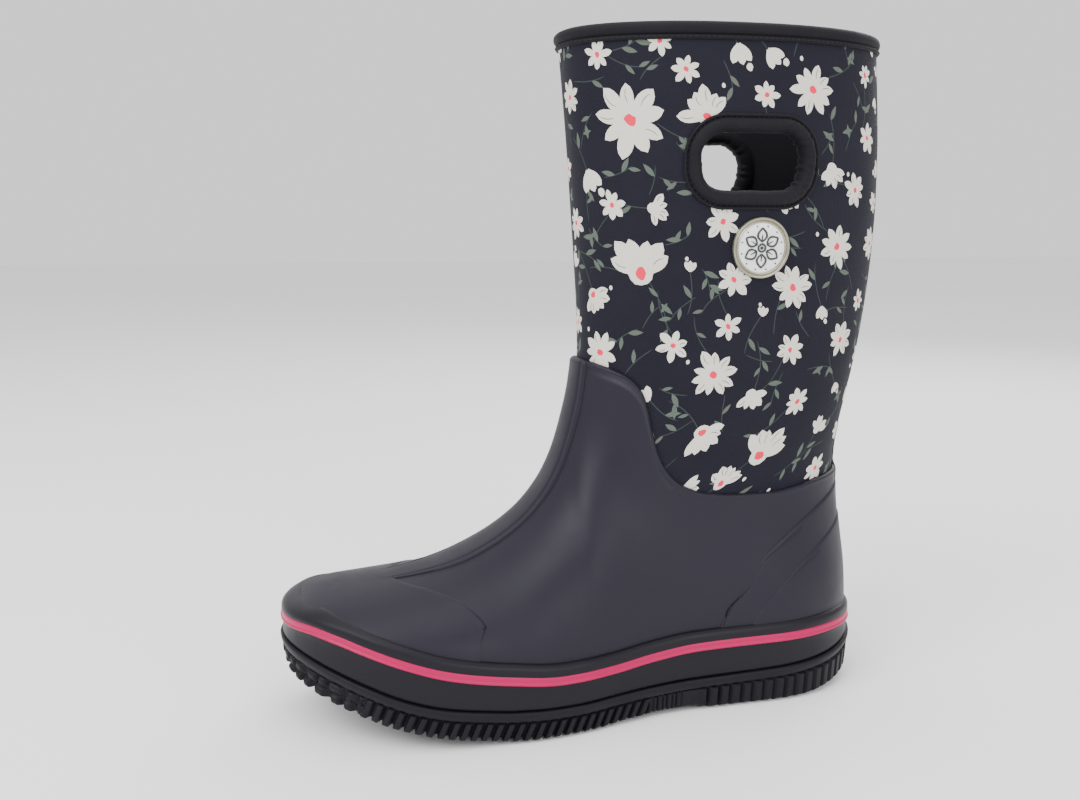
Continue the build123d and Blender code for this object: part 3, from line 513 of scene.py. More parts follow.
RUBBER = material("upper_rubber_look", (0.0128, 0.0110, 0.0190), rough=0.46, grain=0.0007, bump=0.16, vary=0.07, tint=0.10, spec=0.20)
OUTSOLE = material("outsole_rubber_look", (0.0058, 0.0051, 0.0082), rough=0.5, grain=0.0009, bump=0.2, vary=0.08, tint=0.15, spec=0.18)
FOX = material("rand_rubber_look", (0.0066, 0.0058, 0.0098), rough=0.42, grain=0.0009, bump=0.10, vary=0.07, tint=0.12, spec=0.20)
PINK = material("stripe_rubber_look", (0.42, 0.0, 0.075), rough=0.36, grain=0.0007, bump=0.08, vary=0.06, tint=0.08, spec=0.22)
BINDING = material("binding_look", (0.0040, 0.0034, 0.0062), rough=0.72, grain=0.0005, bump=0.25, vary=0.06, tint=0.15, sheen=0.03, fine="knit", spec=0.22)
LINING = material("lining_look", (0.006, 0.006, 0.008), rough=0.85, grain=0.0006, bump=0.35, vary=0.05, tint=0.2, sheen=0.06, fine="knit", spec=0.3)
INSOLE = material("insole_look", (0.035, 0.036, 0.045), rough=0.9, grain=0.0006, bump=0.4, vary=0.05, tint=0.2, sheen=0.25, fine="knit", spec=0.3)
METAL = material("badge_metal_look", (0.34, 0.33, 0.25), rough=0.32, grain=0.0004, bump=0.05, vary=0.07, tint=0.08, metal=0.85)
ENAMEL = material("badge_enamel_look", (0.83, 0.85, 0.84), rough=0.22, grain=0.002, bump=0.02, vary=0.05, tint=0.03, coat=0.5)
INK = material("badge_ink_look", (0.012, 0.012, 0.014), rough=0.3, grain=0.001, bump=0.05, vary=0.06, tint=0.1, coat=0.3)
STITCH = material("thread_look", (0.006, 0.0055, 0.009), rough=0.6, grain=0.0003, bump=0.4, vary=0.06, tint=0.2, sheen=0.05, spec=0.3)
BOARD = material("board_look", (0.35, 0.24, 0.15), rough=0.85, grain=0.001, bump=0.4, vary=0.06, tint=0.25)
SPONGE = material("sponge_look", (0.12, 0.12, 0.13), rough=0.9, grain=0.0012, bump=0.8, vary=0.05, tint=0.3)
STEEL = material("shank_look", (0.5, 0.5, 0.52), rough=0.35, grain=0.0006, bump=0.08, vary=0.1, tint=0.1, metal=1.0)
STIFF = material("stiffener_look", (0.55, 0.52, 0.42), rough=0.8, grain=0.001, bump=0.3, vary=0.06, tint=0.15)


def printed(name):
    """the knit face: its print comes from the mesh's own colours, the knit from its own coordinates"""
    m = bpy.data.materials.new(name)
    t, b = nodes_of(m)
    att = add_node(t, "ShaderNodeVertexColor", layer_name="print")
    uv = add_node(t, "ShaderNodeUVMap", uv_map="fabric")
    sep = add_node(t, "ShaderNodeSeparateXYZ")
    t.links.new(uv.outputs[0], sep.inputs[0])

    def stripes(axis, pitch, shift=None):
        k = add_node(t, "ShaderNodeMath", operation="MULTIPLY")
        k.inputs[1].default_value = 2 * math.pi / pitch
        t.links.new(sep.outputs[axis], k.inputs[0])
        src = k.outputs[0]
        if shift is not None:
            ad = add_node(t, "ShaderNodeMath", operation="ADD")
            t.links.new(src, ad.inputs[0])
            t.links.new(shift, ad.inputs[1])
            src = ad.outputs[0]
        s = add_node(t, "ShaderNodeMath", operation="SINE")
        t.links.new(src, s.inputs[0])
        return s.outputs[0]
    wales = stripes(0, 0.00095)
    courses = stripes(1, 0.00075, wales)
    hh = add_node(t, "ShaderNodeMath", operation="ADD")
    t.links.new(wales, hh.inputs[0])
    t.links.new(courses, hh.inputs[1])
    co = add_node(t, "ShaderNodeTexCoord")
    nz = add_node(t, "ShaderNodeTexNoise", Scale=900.0, Detail=3.0)
    t.links.new(co.outputs["Object"], nz.inputs["Vector"])
    big = add_node(t, "ShaderNodeTexNoise", Scale=30.0, Detail=3.0)
    t.links.new(co.outputs["Object"], big.inputs["Vector"])
    h2 = add_node(t, "ShaderNodeMath", operation="MULTIPLY_ADD")
    t.links.new(nz.outputs["Fac"], h2.inputs[0])
    h2.inputs[1].default_value = 1.5
    t.links.new(hh.outputs[0], h2.inputs[2])
    bm = add_node(t, "ShaderNodeBump", Strength=0.30, Distance=0.00012)
    t.links.new(h2.outputs[0], bm.inputs["Height"])
    t.links.new(bm.outputs["Normal"], b.inputs["Normal"])
    # painted shade and highlight from the knit's relief: the print's colour is scaled by the knit's height, to 0.80 in
    # its hollows and 1.08 on its crests, so the wales show slightly darker
    mr = add_node(t, "ShaderNodeMapRange")
    mr.inputs["From Min"].default_value, mr.inputs["From Max"].default_value = -2.0, 3.5
    mr.inputs["To Min"].default_value, mr.inputs["To Max"].default_value = 0.80, 1.08
    t.links.new(h2.outputs[0], mr.inputs["Value"])
    vs = add_node(t, "ShaderNodeVectorMath", operation="SCALE")
    t.links.new(att.outputs["Color"], vs.inputs[0])
    t.links.new(mr.outputs["Result"], vs.inputs["Scale"])
    t.links.new(vs.outputs[0], b.inputs["Base Color"])
    r = add_node(t, "ShaderNodeMapRange")
    r.inputs["To Min"].default_value, r.inputs["To Max"].default_value = 0.6, 0.8
    t.links.new(big.outputs["Fac"], r.inputs["Value"])
    t.links.new(r.outputs["Result"], b.inputs["Roughness"])
    b.inputs["Sheen Weight"].default_value = 0.03
    b.inputs["Sheen Roughness"].default_value = 0.4
    b.inputs["Specular IOR Level"].default_value = 0.22
    return m


PRINTED = printed("printed_neoprene_look")
for node, m in (("lasting_board", BOARD), ("sponge_midsole", SPONGE), ("shank", STEEL), ("toe_stiffener", STIFF),
                ("heel_stiffener", STIFF), ("sock_sole", LINING)):
    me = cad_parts[node].data
    if me.materials:
        me.materials[0] = m
    else:
        me.materials.append(m)

# ---------------------------------------------------------------- rubber upper and its overlays
ZB = lambda y: zrand(y) + 5.4
front = spaced(-0.999999, 1.0, lambda a: v_line(a, TOPLINE), 1.3, 1 / 110)
ring_a = front[:-1]
skin("rubber_upper_shell", ring_a, v_line(ring_a, lambda y: ZB(y) - 14.0), v_line(ring_a, TOPLINE), -2.2, 0.0, RUBBER, n=64,
     edges=(False, True), r=1.1, ring=True, lip=0.18, nodes=["rubber_upper"], slot="upper_rubber")

ca = spaced(-0.36, 0.36, v_cap, 1.3, 1 / 110)
vc, vb = v_cap(ca), v_line(ca, lambda y: ZB(y) - 2.0)
use = vc > vb + 0.02
ca, vc, vb = ca[use], vc[use], vb[use]
skin("toe_cap_overlay", ca, vb, vc, -0.15, 0.55, RUBBER, n=34, edges=(False, True), r=1.6, ring=False, line_at=("top",),
     nodes=["toe_cap"], slot="upper_rubber")

for tag, line, t in (("outer", OUTER_LINE, 0.75), ("inner", INNER_LINE, 1.35)):
    for flank, sg in (("lateral", 1), ("medial", -1)):
        A = spaced(0.60, 0.968, lambda a: v_line(a, line), 1.3, 1 / 110)
        v1, v0 = v_line(A, line), v_line(A, lambda y: ZB(y) - 2.0)
        ok = v1 > v0 + 0.02
        A, v0, v1 = A[ok], v0[ok], v1[ok]
        if sg < 0:
            A, v0, v1 = (2.0 - A)[::-1], v0[::-1], v1[::-1]
        skin(f"heel_counter_{tag}_{flank}_panel", A, v0, v1, -0.12 if tag == "outer" else 0.5, t, RUBBER, n=26, edges=(False, True), r=1.5, ring=False,
             line_at=("top",), nodes=[f"heel_counter_{tag}_{flank}"], slot="upper_rubber")


def at_x(x, v, back=False):
    """meridians through the points at sideways distance x from the axis on loops v, at the front or the back"""
    x, v = np.broadcast_arrays(np.asarray(x, float), np.asarray(v, float))
    aa = np.linspace(-0.36, 0.36, 145)
    out = np.empty(x.shape)
    flat_x, flat_v, o = x.ravel(), v.ravel(), out.ravel()
    cache = {}
    for i in range(len(flat_x)):
        key = round(float(flat_v[i]), 5)
        if key not in cache:
            P = surf(aa if not back else 1.0 - aa, np.full_like(aa, flat_v[i]))
            cache[key] = P[:, 0]
        o[i] = np.interp(flat_x[i], cache[key], aa)
    out = o.reshape(x.shape)
    return out if not back else 1.0 - out


def band(name, v, xl, xr, prof, mat, back=False, **kw):
    """closed strip along the front or back line: v stations, xl/xr side limits per station, prof(u, k) height across u 0..1"""
    u = np.array([0, 0.012, 0.03, 0.05, 0.07, 0.09, 0.11, 0.135, 0.17, 0.25, 0.35, 0.5, 0.65, 0.75, 0.83, 0.865, 0.89, 0.91, 0.93, 0.95, 0.97, 0.988, 1.0])
    X = xl[:, None] + (xr - xl)[:, None] * u
    V = np.tile(v[:, None], (1, len(u)))
    A = at_x(X, V, back)
    P = surf(A.ravel(), V.ravel())
    N = normal(A.ravel(), V.ravel())
    K, U = np.meshgrid(np.arange(len(v)), u, indexing="ij")
    top, low = prof(U, K / (len(v) - 1.0), P.reshape(V.shape + (3,)))
    O = (P + top.ravel()[:, None] * N).reshape(V.shape + (3,))
    I = (P + low.ravel()[:, None] * N).reshape(V.shape + (3,))
    S = np.concatenate([O, I[:, ::-1][:, 1:-1]], axis=1)
    return tube(name, S, mat, ring=False, sharp=55, flip=True, **kw)


v_top = float(v_line(np.array([0.05]), TOPLINE)[0]) - 0.03
v_low = float(v_line(np.array([0.0]), lambda y: 0 * y + 64.3)[0])
vv = np.linspace(v_low, v_top, 150)


def rib(U, K, P):
    w = np.minimum(U, 1 - U) * 29.0
    grow = smooth(K, 0.0, 0.35)
    h = (0.45 + 0.55 * grow) * bevel(w, 1.1) * 1.25
    groove = 0.62 * np.exp(-((w - 2.9) / 0.75) ** 2) * (0.4 + 0.6 * grow)
    end = smooth(K, 0.0, 0.05) * (1 - smooth(K, 0.993, 1.0) * 0.6)
    return -0.35 + (h + 0.35 - groove) * end, np.full_like(U, -0.4)


half_w = 14.6 * (0.55 + 0.45 * smooth(vv, v_low, v_low + 3.0))
band("instep_band_rib", vv, 0.5 - half_w, 0.5 + half_w, rib, RUBBER, nodes=["instep_band"], slot="upper_rubber")


def v_back_z(z):
    z = np.atleast_1d(z)
    y_, z_ = yz(np.ones_like(VF), VF)
    return np.interp(z, z_, VF)


zs = np.r_[np.linspace(41.0, 132.0, 70), 133.5, 134.6, 135.4, 135.9, 136.2]
wid = 6.0 * np.sqrt(np.clip(1 - (np.clip(zs - 130.2, 0, 6) / 6.02) ** 2, 0.02, 1)) * (1 + 0.25 * smooth(-zs, -70, -40))


def stay(U, K, P):
    w = np.minimum(U, 1 - U) * 12.0
    z = P[..., 2]
    drop = 2.0 * smooth(z, 107.5, 113.5)
    return 1.45 * bevel(w, 1.2) - drop, np.full_like(U, -0.5) - drop * 0.9


band("back_stay_strip", v_back_z(zs), BACK_X - wid, BACK_X + wid, stay, RUBBER, back=True, nodes=["back_stay"], slot="upper_rubber")


# ---------------------------------------------------------------- rand: wall, stripe, bead
def outline(n=560):
    s = np.linspace(0, 1, n // 2 + 1)
    lat = np.c_[s, np.ones_like(s)]
    med = np.c_[s[1:-1][::-1], -np.ones(len(s) - 2)]
    return np.r_[lat, med]


OUT = outline()


def ring_point(grow, z):
    """points of the sole outline for every station of OUT, at a growth and a height (each one per station)"""
    s, side = OUT[:, 0], OUT[:, 1]
    y = (TOE_Y - grow) + (1 - np.cos(math.pi * s)) / 2 * (HEEL_Y - TOE_Y + 2 * grow)
    x = np.where(side > 0, plan(y, 1, grow), plan(y, -1, grow)) * side
    x = np.where((s == 0) | (s == 1), 0.0, x)
    return np.stack([x, y, z + 0 * y], axis=-1)


ST_Y = TOE_Y + (1 - np.cos(math.pi * OUT[:, 0])) / 2 * (HEEL_Y - TOE_Y)


def sweep(name, prof, mat, sharp=45, **kw):
    S = np.stack([ring_point(np.full(len(OUT), g) if np.isscalar(g) else g, z) for g, z in prof(ST_Y)], axis=1)
    return tube(name, S, mat, ring=True, sharp=sharp, **kw)


def arc_pts(c, z, r, a0, a1, n=5):
    return [(c + r * math.cos(math.radians(a0 + (a1 - a0) * k / (n - 1))), lambda y, q=z + r * math.sin(math.radians(a0 + (a1 - a0) * k / (n - 1))): q)
            for k in range(n)]


def wall(y):
    lip, top = ZLIP(y), ZPINK(y)
    h = top - lip
    k = [0.0, 0.02, 0.05, 0.12, 0.3, 0.5, 0.7, 0.85, 0.94, 1.0]
    g = [-0.9, -0.35, 0.0, 0.15, 0.05, -0.10, -0.15, -0.1, 0.1, 0.1]
    return [(GROW - 0.4, lip)] + [(gg, lip + 0.2 + (h - 0.2) * kk) for kk, gg in zip(k, g)] + [(GROW - 0.4, top)]


sweep("rand_wall", wall, FOX, nodes=["foxing_wall"], slot="upper_rubber")


def stripe(y):
    z = ZPINK(y)
    pts = [(GROW - 0.3, z - 0.05), (0.1, z - 0.05), (0.62, z + 0.12), (0.92, z + 0.42), (1.0, z + 0.8), (0.92, z + 1.15), (0.62, z + 1.45),
           (0.50, z + 1.6), (0.56, z + 2.3), (0.56, z + 3.2), (0.5, z + 3.8), (0.25, z + 4.25), (0.0, z + 4.45), (GROW - 0.3, z + 4.45)]
    return pts


sweep("rand_stripe", stripe, PINK, nodes=["foxing_stripe"], slot="stripe_rubber")


def bead(y):
    z = zrand(y)
    k = smooth(-y, 112, 139)                    # at the toe the bead leans in over the upper's own slope
    return [(GROW - 0.6 - 3.0 * k, z - 0.1), (0.30, z - 0.1), (0.50, z + 0.25), (0.52 - 0.1 * k, z + 1.2), (0.45 - 0.5 * k, z + 2.6 - 0.2 * k),
            (0.2 - 1.1 * k, z + 3.6 - 0.2 * k), (-0.3 - 1.9 * k, z + 4.4 - 0.1 * k), (-1.0 - 2.9 * k, z + 4.95), (-1.8 - 4.0 * k, z + 5.3 + 0.25 * k),
            (-2.5 - 6.0 * k, z + 5.45 + 0.5 * k), (GROW - 1.0 - 6.4 * k, z + 5.4 - 0.8 * k)]


sweep("rand_bead", bead, FOX, nodes=["foxing_bead"], slot="upper_rubber")

# ---------------------------------------------------------------- outsole
N_OUT = 1500
s_ = np.linspace(0, 1, 3001)
yy_ = TOE_Y + (1 - np.cos(math.pi * s_)) / 2 * (HEEL_Y - TOE_Y)


def side_arc(side):
    x = plan(yy_, side, 0.0) * side
    x[0] = x[-1] = 0
    return np.r_[0, np.cumsum(np.hypot(np.diff(x), np.diff(yy_)))]


ARC = {1: side_arc(1), -1: side_arc(-1)}
st_s, st_side, st_L = [], [], []
for side, n in ((1, N_OUT // 2), (-1, N_OUT // 2)):
    L = np.linspace(0, ARC[side][-1], n + 1)
    s = np.interp(L, ARC[side], s_)
    if side < 0:
        s, L = s[1:-1][::-1], L[1:-1][::-1]
    st_s.append(s), st_side.append(np.full(len(s), side)), st_L.append(L)
st_s, st_side, st_L = map(np.concatenate, (st_s, st_side, st_L))


def out_point(grow, z):
    y = (TOE_Y - grow) + (1 - np.cos(math.pi * st_s)) / 2 * (HEEL_Y - TOE_Y + 2 * grow)
    x = np.where(st_side > 0, plan(y, 1, grow), plan(y, -1, grow)) * st_side
    x = np.where((st_s < 1e-9) | (st_s > 1 - 1e-9), 0.0, x)
    return np.stack([x, y, z + 0 * y], axis=-1)


sy = TOE_Y + (1 - np.cos(math.pi * st_s)) / 2 * (HEEL_Y - TOE_Y)


def pulse(x, pitch, width, edge=0.45):
    """rounded blocks: 1 on the block, 0 in the groove"""
    q = np.abs(((x / pitch) % 1.0) - 0.5) * pitch
    return 1 - smooth(q, width / 2 - edge, width / 2 + edge)


def lugs(L, y, h, z):
    """how proud the side wall stands at arc length L (from the toe), h mm below the lip"""
    fore = pulse(L + 0.42 * h, 5.0, 3.2, 0.55)
    heel = pulse(L + 0.8, 5.9, 4.1, 0.6)
    slots = pulse(L, 2.6, 1.7, 0.4) * 0.45 + 0.3
    plain = 0.75 - 0.10 * pulse(h, 2.6, 0.8, 0.3)
    row1 = np.exp(-((h - 3.0) / 2.4) ** 4)
    row2 = np.exp(-((h - 8.6) / 2.6) ** 4)
    studs = np.maximum(row1 * pulse(L + 1.2 * np.sin(L * 0.31), 7.6, 5.2, 1.1), row2 * pulse(L + 3.8 + np.sin(L * 0.23), 7.9, 5.0, 1.2) * 1.15)
    toe_w = 1 - smooth(y, -118, -104)
    fore_w = smooth(y, -118, -104) * (1 - smooth(y, 24, 27))
    slot_w = smooth(y, 24, 27) * (1 - smooth(y, 43, 45))
    plain_w = smooth(y, 43, 45) * (1 - smooth(y, 52, 54))
    heel_w = smooth(y, 52, 54)
    return toe_w * studs + fore_w * fore + slot_w * slots + plain_w * plain + heel_w * heel


lipz, lowz = ZLIP(sy), ZBOT(sy)
side_top = lipz - 5.0
rows = []


def add_row(grow, z):
    rows.append(out_point(grow, z))


add_row(np.full(len(sy), GROW - 0.5), lipz - 0.4)
add_row(np.full(len(sy), GROW - 0.5), lipz + 0.05)
add_row(np.full(len(sy), 0.35), lipz + 0.05)
add_row(np.full(len(sy), 0.95), lipz - 0.08)
add_row(np.full(len(sy), 1.22), lipz - 0.40)
add_row(np.full(len(sy), 1.30), lipz - 0.9)
add_row(np.full(len(sy), 1.25), lipz - 2.0)
add_row(np.full(len(sy), 0.95), lipz - 3.2)
add_row(np.full(len(sy), 0.55), lipz - 4.1)
add_row(np.full(len(sy), 0.15), lipz - 4.8)
deep = np.maximum(side_top - (lowz + 2.6), 1.0)         # straight part of the lug zone
for k in np.linspace(0.03, 1.0, 20):
    h = k * deep
    D = lugs(st_L, sy, h, None) * np.clip(k / 0.10, 0, 1)
    base = -1.5 - 0.6 * k
    add_row(base + 2.2 * D, side_top - h)
for ang in (15, 30, 45, 60, 75, 90):                     # round under
    c, s1 = math.cos(math.radians(ang)), math.sin(math.radians(ang))
    D = lugs(st_L, sy, deep + 2.6 * s1, None)
    g0 = -2.1 - 2.6 * (1 - c)
    add_row(g0 + 2.2 * D * c, lowz + 2.6 - 2.6 * s1 + (1 - D) * 2.6 * s1)
edge_D = lugs(st_L, sy, deep + 2.6, None)
first = rows[-1]
bars = np.where(sy < 40, pulse(sy + 84 - 2.5 + 0.8 * np.abs(first[:, 0]) * 0.12, 5.0, 3.2, 0.5), pulse(sy - 50 - 2.9, 5.9, 3.8, 0.5))
for k in np.linspace(0.06, 1.0, 22):
    x = first[:, 0] * (1 - k)
    y = first[:, 1] + (np.clip(first[:, 1], -128, 134) - first[:, 1]) * k
    zb = ZBOT(y)
    bar = np.where(y < 40, pulse(y + 81.5 + 0.10 * np.abs(x), 5.0, 3.2, 0.5), pulse(y - 52.9 + 0.10 * np.abs(x), 5.9, 3.8, 0.5))
    waist = smooth(y, 24, 28) * (1 - smooth(y, 46, 50))
    bar = bar * (1 - waist) + (0.35 + 0.3 * pulse(y, 2.6, 1.6, 0.4)) * waist
    split = 1 - smooth(np.abs(np.abs(x) - 17.0), 1.2, 0.4)   # two channels along the sole
    D = bar * (1 - 0.9 * split)
    D = D * smooth(k, 0.0, 0.1) + edge_D * (1 - smooth(k, 0.0, 0.1))
    rows.append(np.stack([x, y, zb + (1 - D) * 3.4], axis=-1))
R = np.stack(rows, axis=1)
R[..., 2] = np.maximum(R[..., 2], 0.0)
n, m = R.shape[:2]
V = R.reshape(-1, 3)
I, J = np.meshgrid(np.arange(n), np.arange(m - 1), indexing="ij")
I, J = I.ravel(), J.ravel()
I2 = (I + 1) % n
F = np.stack([I * m + J, I * m + J + 1, I2 * m + J + 1, I2 * m + J], 1).tolist()
# the top inside edge closes on a deck under the foot bed
deck = np.stack([V[np.arange(n) * m][:, 0] * 0.4, V[np.arange(n) * m][:, 1] * 0.6, np.minimum(ZFLOOR(V[np.arange(n) * m][:, 1]), lipz) - 1.0], 1)
c0 = len(V)
V = np.r_[V, deck, [[4.0, 0.0, 13.5]]]
i = np.arange(n)
F += np.stack([i * m, (i + 1) % n * m, c0 + (i + 1) % n, c0 + i], 1).tolist()
F += np.stack([c0 + i, c0 + (i + 1) % n, np.full(n, c0 + n)], 1).tolist()
make("outsole_tread", V, F, OUTSOLE, sharp=38, nodes=["outsole"], slot="outsole_rubber")

# ---------------------------------------------------------------- printed neoprene shaft
KS = 210.0                                     # mm of print per unit of a, the lay-out sheet's width scale
TA = np.linspace(-1.0, 1.0, 801)
TV = np.linspace(11.0, 23.4, 400)
_Y, _Z = yz(np.repeat(TA[:, None], len(TV), 1), np.tile(TV, (len(TA), 1)))
TZ = np.arange(96.0, 326.0, 2.0)
TAB_V = np.stack([np.interp(TZ, _Z[i], TV) for i in range(len(TA))])          # loop coordinate at (a, z)
TAB_P = surf(np.repeat(TA[:, None] % 2.0, len(TZ), 1).ravel(), TAB_V.ravel()).reshape(len(TA), len(TZ), 3)
_d = np.linalg.norm(np.diff(TAB_P, axis=0), axis=2)
TAB_U = np.r_[np.zeros((1, len(TZ))), np.cumsum(_d, axis=0)]
TAB_U = TAB_U - TAB_U[400]                      # distance round the shaft from its front line


def bilinear(tab, a, z):
    fa = np.clip((np.asarray(a, float) + 1) / 2 * (len(TA) - 1), 0, len(TA) - 1.001)
    fz = np.clip((np.asarray(z, float) - TZ[0]) / 2.0, 0, len(TZ) - 1.001)
    i, j = fa.astype(int), fz.astype(int)
    s, t = fa - i, fz - j
    return (tab[i, j] * (1 - s) * (1 - t) + tab[i + 1, j] * s * (1 - t) + tab[i, j + 1] * (1 - s) * t + tab[i + 1, j + 1] * s * t)


def a_of(u, z):
    """meridian at distance u round the shaft from the front line, at height z"""
    u, z = np.broadcast_arrays(np.asarray(u, float), np.asarray(z, float))
    fz = np.clip((z - TZ[0]) / 2.0, 0, len(TZ) - 1.001)
    j = fz.astype(int)
    t = fz - j
    out = np.empty(u.shape)
    for k in np.ndindex(u.shape):
        c0 = TAB_U[:, j[k]] * (1 - t[k]) + TAB_U[:, j[k] + 1] * t[k]
        out[k] = np.interp(u[k], c0, TA)
    return out


def a_from_y(y, z, side):
    """meridian of the side view's point (y, z) on one side"""
    y, z = np.broadcast_arrays(np.asarray(y, float), np.asarray(z, float))
    out = np.empty(y.shape)
    half = TAB_P[400:, :, 1] if side > 0 else TAB_P[400::-1, :, 1]
    A = TA[400:] if side > 0 else TA[400::-1]
    for k in np.ndindex(y.shape):
        f = min(max((z[k] - TZ[0]) / 2.0, 0), len(TZ) - 1.001)
        j = int(f)
        t = f - j
        out[k] = np.interp(y[k], half[:, j] * (1 - t) + half[:, j + 1] * t, A)
    return out


def on_shaft(a, z, off):
    v = bilinear(TAB_V, a, z)
    P = surf(np.asarray(a) % 2.0, v)
    N = normal(np.asarray(a) % 2.0, v)
    return P + np.asarray(off)[..., None] * N if np.ndim(off) else P + off * N, N


# the print: daisies, half-open flowers, buds, stems and leaves, drawn as flat shapes
CREAM, CORAL, SAGE, STEM, GROUND, INKLINE = 1, 2, 3, 4, 0, 5
COL = {GROUND: (0.0046, 0.0040, 0.0118), CREAM: (0.70, 0.675, 0.60), CORAL: (0.86, 0.022, 0.075), SAGE: (0.088, 0.112, 0.090),
       STEM: (0.030, 0.040, 0.038), INKLINE: (0.055, 0.052, 0.065)}
SHAPES = []                                     # (kind, polygon in print mm round its own centre (a, z))


def put(kind, cu, cz, pts):
    SHAPES.append((kind, np.asarray(pts, float) + np.array([cu, cz])))


def petal(L, w, bend=0.0, tip=0.5, n=9, wob=0.0):
    """outline of one petal along +x from the origin"""
    t = np.linspace(0, 1, n)
    prof = np.sin(math.pi * np.clip(t, 0, 1) ** 0.85) ** 0.62 * (0.55 + 0.45 * t)
    prof = np.maximum(prof, 0)
    prof[0] = 0.28
    up = np.c_[t * L, prof * w / 2 * (1 + wob * np.sin(t * 9 + 1.3))]
    dn = np.c_[t * L, -prof * w / 2 * (1 + wob * np.cos(t * 8))]
    P = np.r_[up, dn[::-1][1:]]
    P[:, 1] += bend * (P[:, 0] / L) ** 2 * L * 0.3
    return P


def turn(P, ang, s=1.0, at=(0, 0)):
    c, s1 = math.cos(ang), math.sin(ang)
    return np.c_[P[:, 0] * c - P[:, 1] * s1, P[:, 0] * s1 + P[:, 1] * c] * s + np.array(at)


def blob(rx, ry, n=12, wob=0.12, ang=0.0, rng=RNG):
    th = np.linspace(0, 2 * math.pi, n, endpoint=False)
    r = 1 + np.array([rng.uniform(-wob, wob) for _ in th])
    return turn(np.c_[rx * r * np.cos(th), ry * r * np.sin(th)], ang)


def line(P, w):
    """thin ribbon along the points P"""
    P = np.asarray(P, float)
    T = np.gradient(P, axis=0)
    T /= np.maximum(np.linalg.norm(T, axis=1, keepdims=True), 1e-9)
    Nn = np.c_[-T[:, 1], T[:, 0]]
    ww = w / 2 * np.clip(np.r_[0.5, np.ones(len(P) - 2), 0.35], 0.2, 1)[:, None]
    return np.r_[P + Nn * ww, (P - Nn * ww)[::-1]]


def leaf(L, w):
    t = np.linspace(0, 1, 7)
    h = np.sin(math.pi * t ** 0.9) * w / 2
    return np.r_[np.c_[t * L, h], np.c_[t * L, -h][::-1][1:-1]]


def stalk(cu, cz, ang, length, bend, leaves, rng, start=0.0):
    """stem with a few leaves that grows from a flower at (cu, cz)"""
    t = np.linspace(0, 1, 9)
    d = np.array([math.cos(ang), math.sin(ang)])
    e = np.array([-d[1], d[0]])
    P = d * (start + t * (length - start))[:, None] + e * (bend * np.sin(t * 2.2) * length * 0.14)[:, None]
    put(STEM, cu, cz, line(P, 0.5))
    for i in range(leaves):
        k = min(8, 3 + int((i + 0.5) * 5.5 / leaves))
        sg = 1 if (i + int(length)) % 2 else -1
        la = ang + sg * rng.uniform(0.5, 0.9) + (math.pi if rng.random() < 0.35 else 0)
        L = rng.uniform(5.2, 8.0)
        put(SAGE, cu, cz, turn(leaf(L, L * 0.33), la, at=P[k]))


def daisy(cu, cz, R, rng, petals=None, span=2 * math.pi, first=None, heart=True):
    n = petals or (6 if R < 6 else 7 if R < 8.5 else 9 if R < 12 else 11)
    a0 = rng.uniform(0, 6.28) if first is None else first
    full = span > 6
    for i in range(n):
        ang = a0 + span * (i / n if full else i / max(n - 1, 1)) + rng.uniform(-0.10, 0.10)
        L = R * rng.uniform(0.80, 1.04)
        w = L * rng.uniform(0.47, 0.60) * (8.6 / max(n, 7)) ** 0.55 * (1 if full else 0.92)
        P = petal(L, w, bend=rng.uniform(-0.25, 0.25), wob=0.05)
        put(CREAM, cu, cz, turn(P, ang))
        if R > 8 and rng.random() < 0.55:        # a fine drawn line inside the petal
            q = np.c_[np.linspace(0.45, 0.86, 5) * L, rng.uniform(-0.10, 0.10) * w + np.sin(np.linspace(0, 3, 5)) * w * 0.10]
            put(INKLINE, cu, cz, turn(line(q, 0.30), ang))
    put(CREAM, cu, cz, blob(R * 0.33, R * 0.31, wob=0.06))
    if heart:
        h = max(1.15, R * 0.135)
        off = (0, 0) if full else (0.0, 0.0)
        put(CORAL, cu + off[0], cz + off[1], blob(h * 1.2, h, wob=0.16, ang=rng.uniform(0, 3)))
    if R > 9 and rng.random() < 0.6:
        ang = rng.uniform(0, 6.28)
        put(CREAM, cu, cz, blob(0.9, 1.1, wob=0.08) + np.array([math.cos(ang), math.sin(ang)]) * R * 1.16)


def fan(cu, cz, R, rng, ang):
    daisy(cu - math.cos(ang) * R * 0.35, cz - math.sin(ang) * R * 0.35, R * 1.2, rng, petals=6 if R > 8 else 5, span=2.3, first=ang - 1.15, heart=R > 8)
    for k in range(2):
        q = ang + rng.choice((-1, 1)) * rng.uniform(1.5, 1.9)
        put(CREAM, cu, cz, turn(petal(R * 0.55, R * 0.3), q))


def bud(cu, cz, R, rng, ang):
    for k in (-0.55, 0.0, 0.5):
        put(CREAM, cu, cz, turn(petal(R * 1.5, R * 0.95), ang + k, at=(-math.cos(ang) * R * 0.55, -math.sin(ang) * R * 0.55)))
    put(CREAM, cu, cz, blob(R * 0.26, R * 0.3) + np.array([math.cos(ang + 0.4), math.sin(ang + 0.4)]) * R * 1.25)


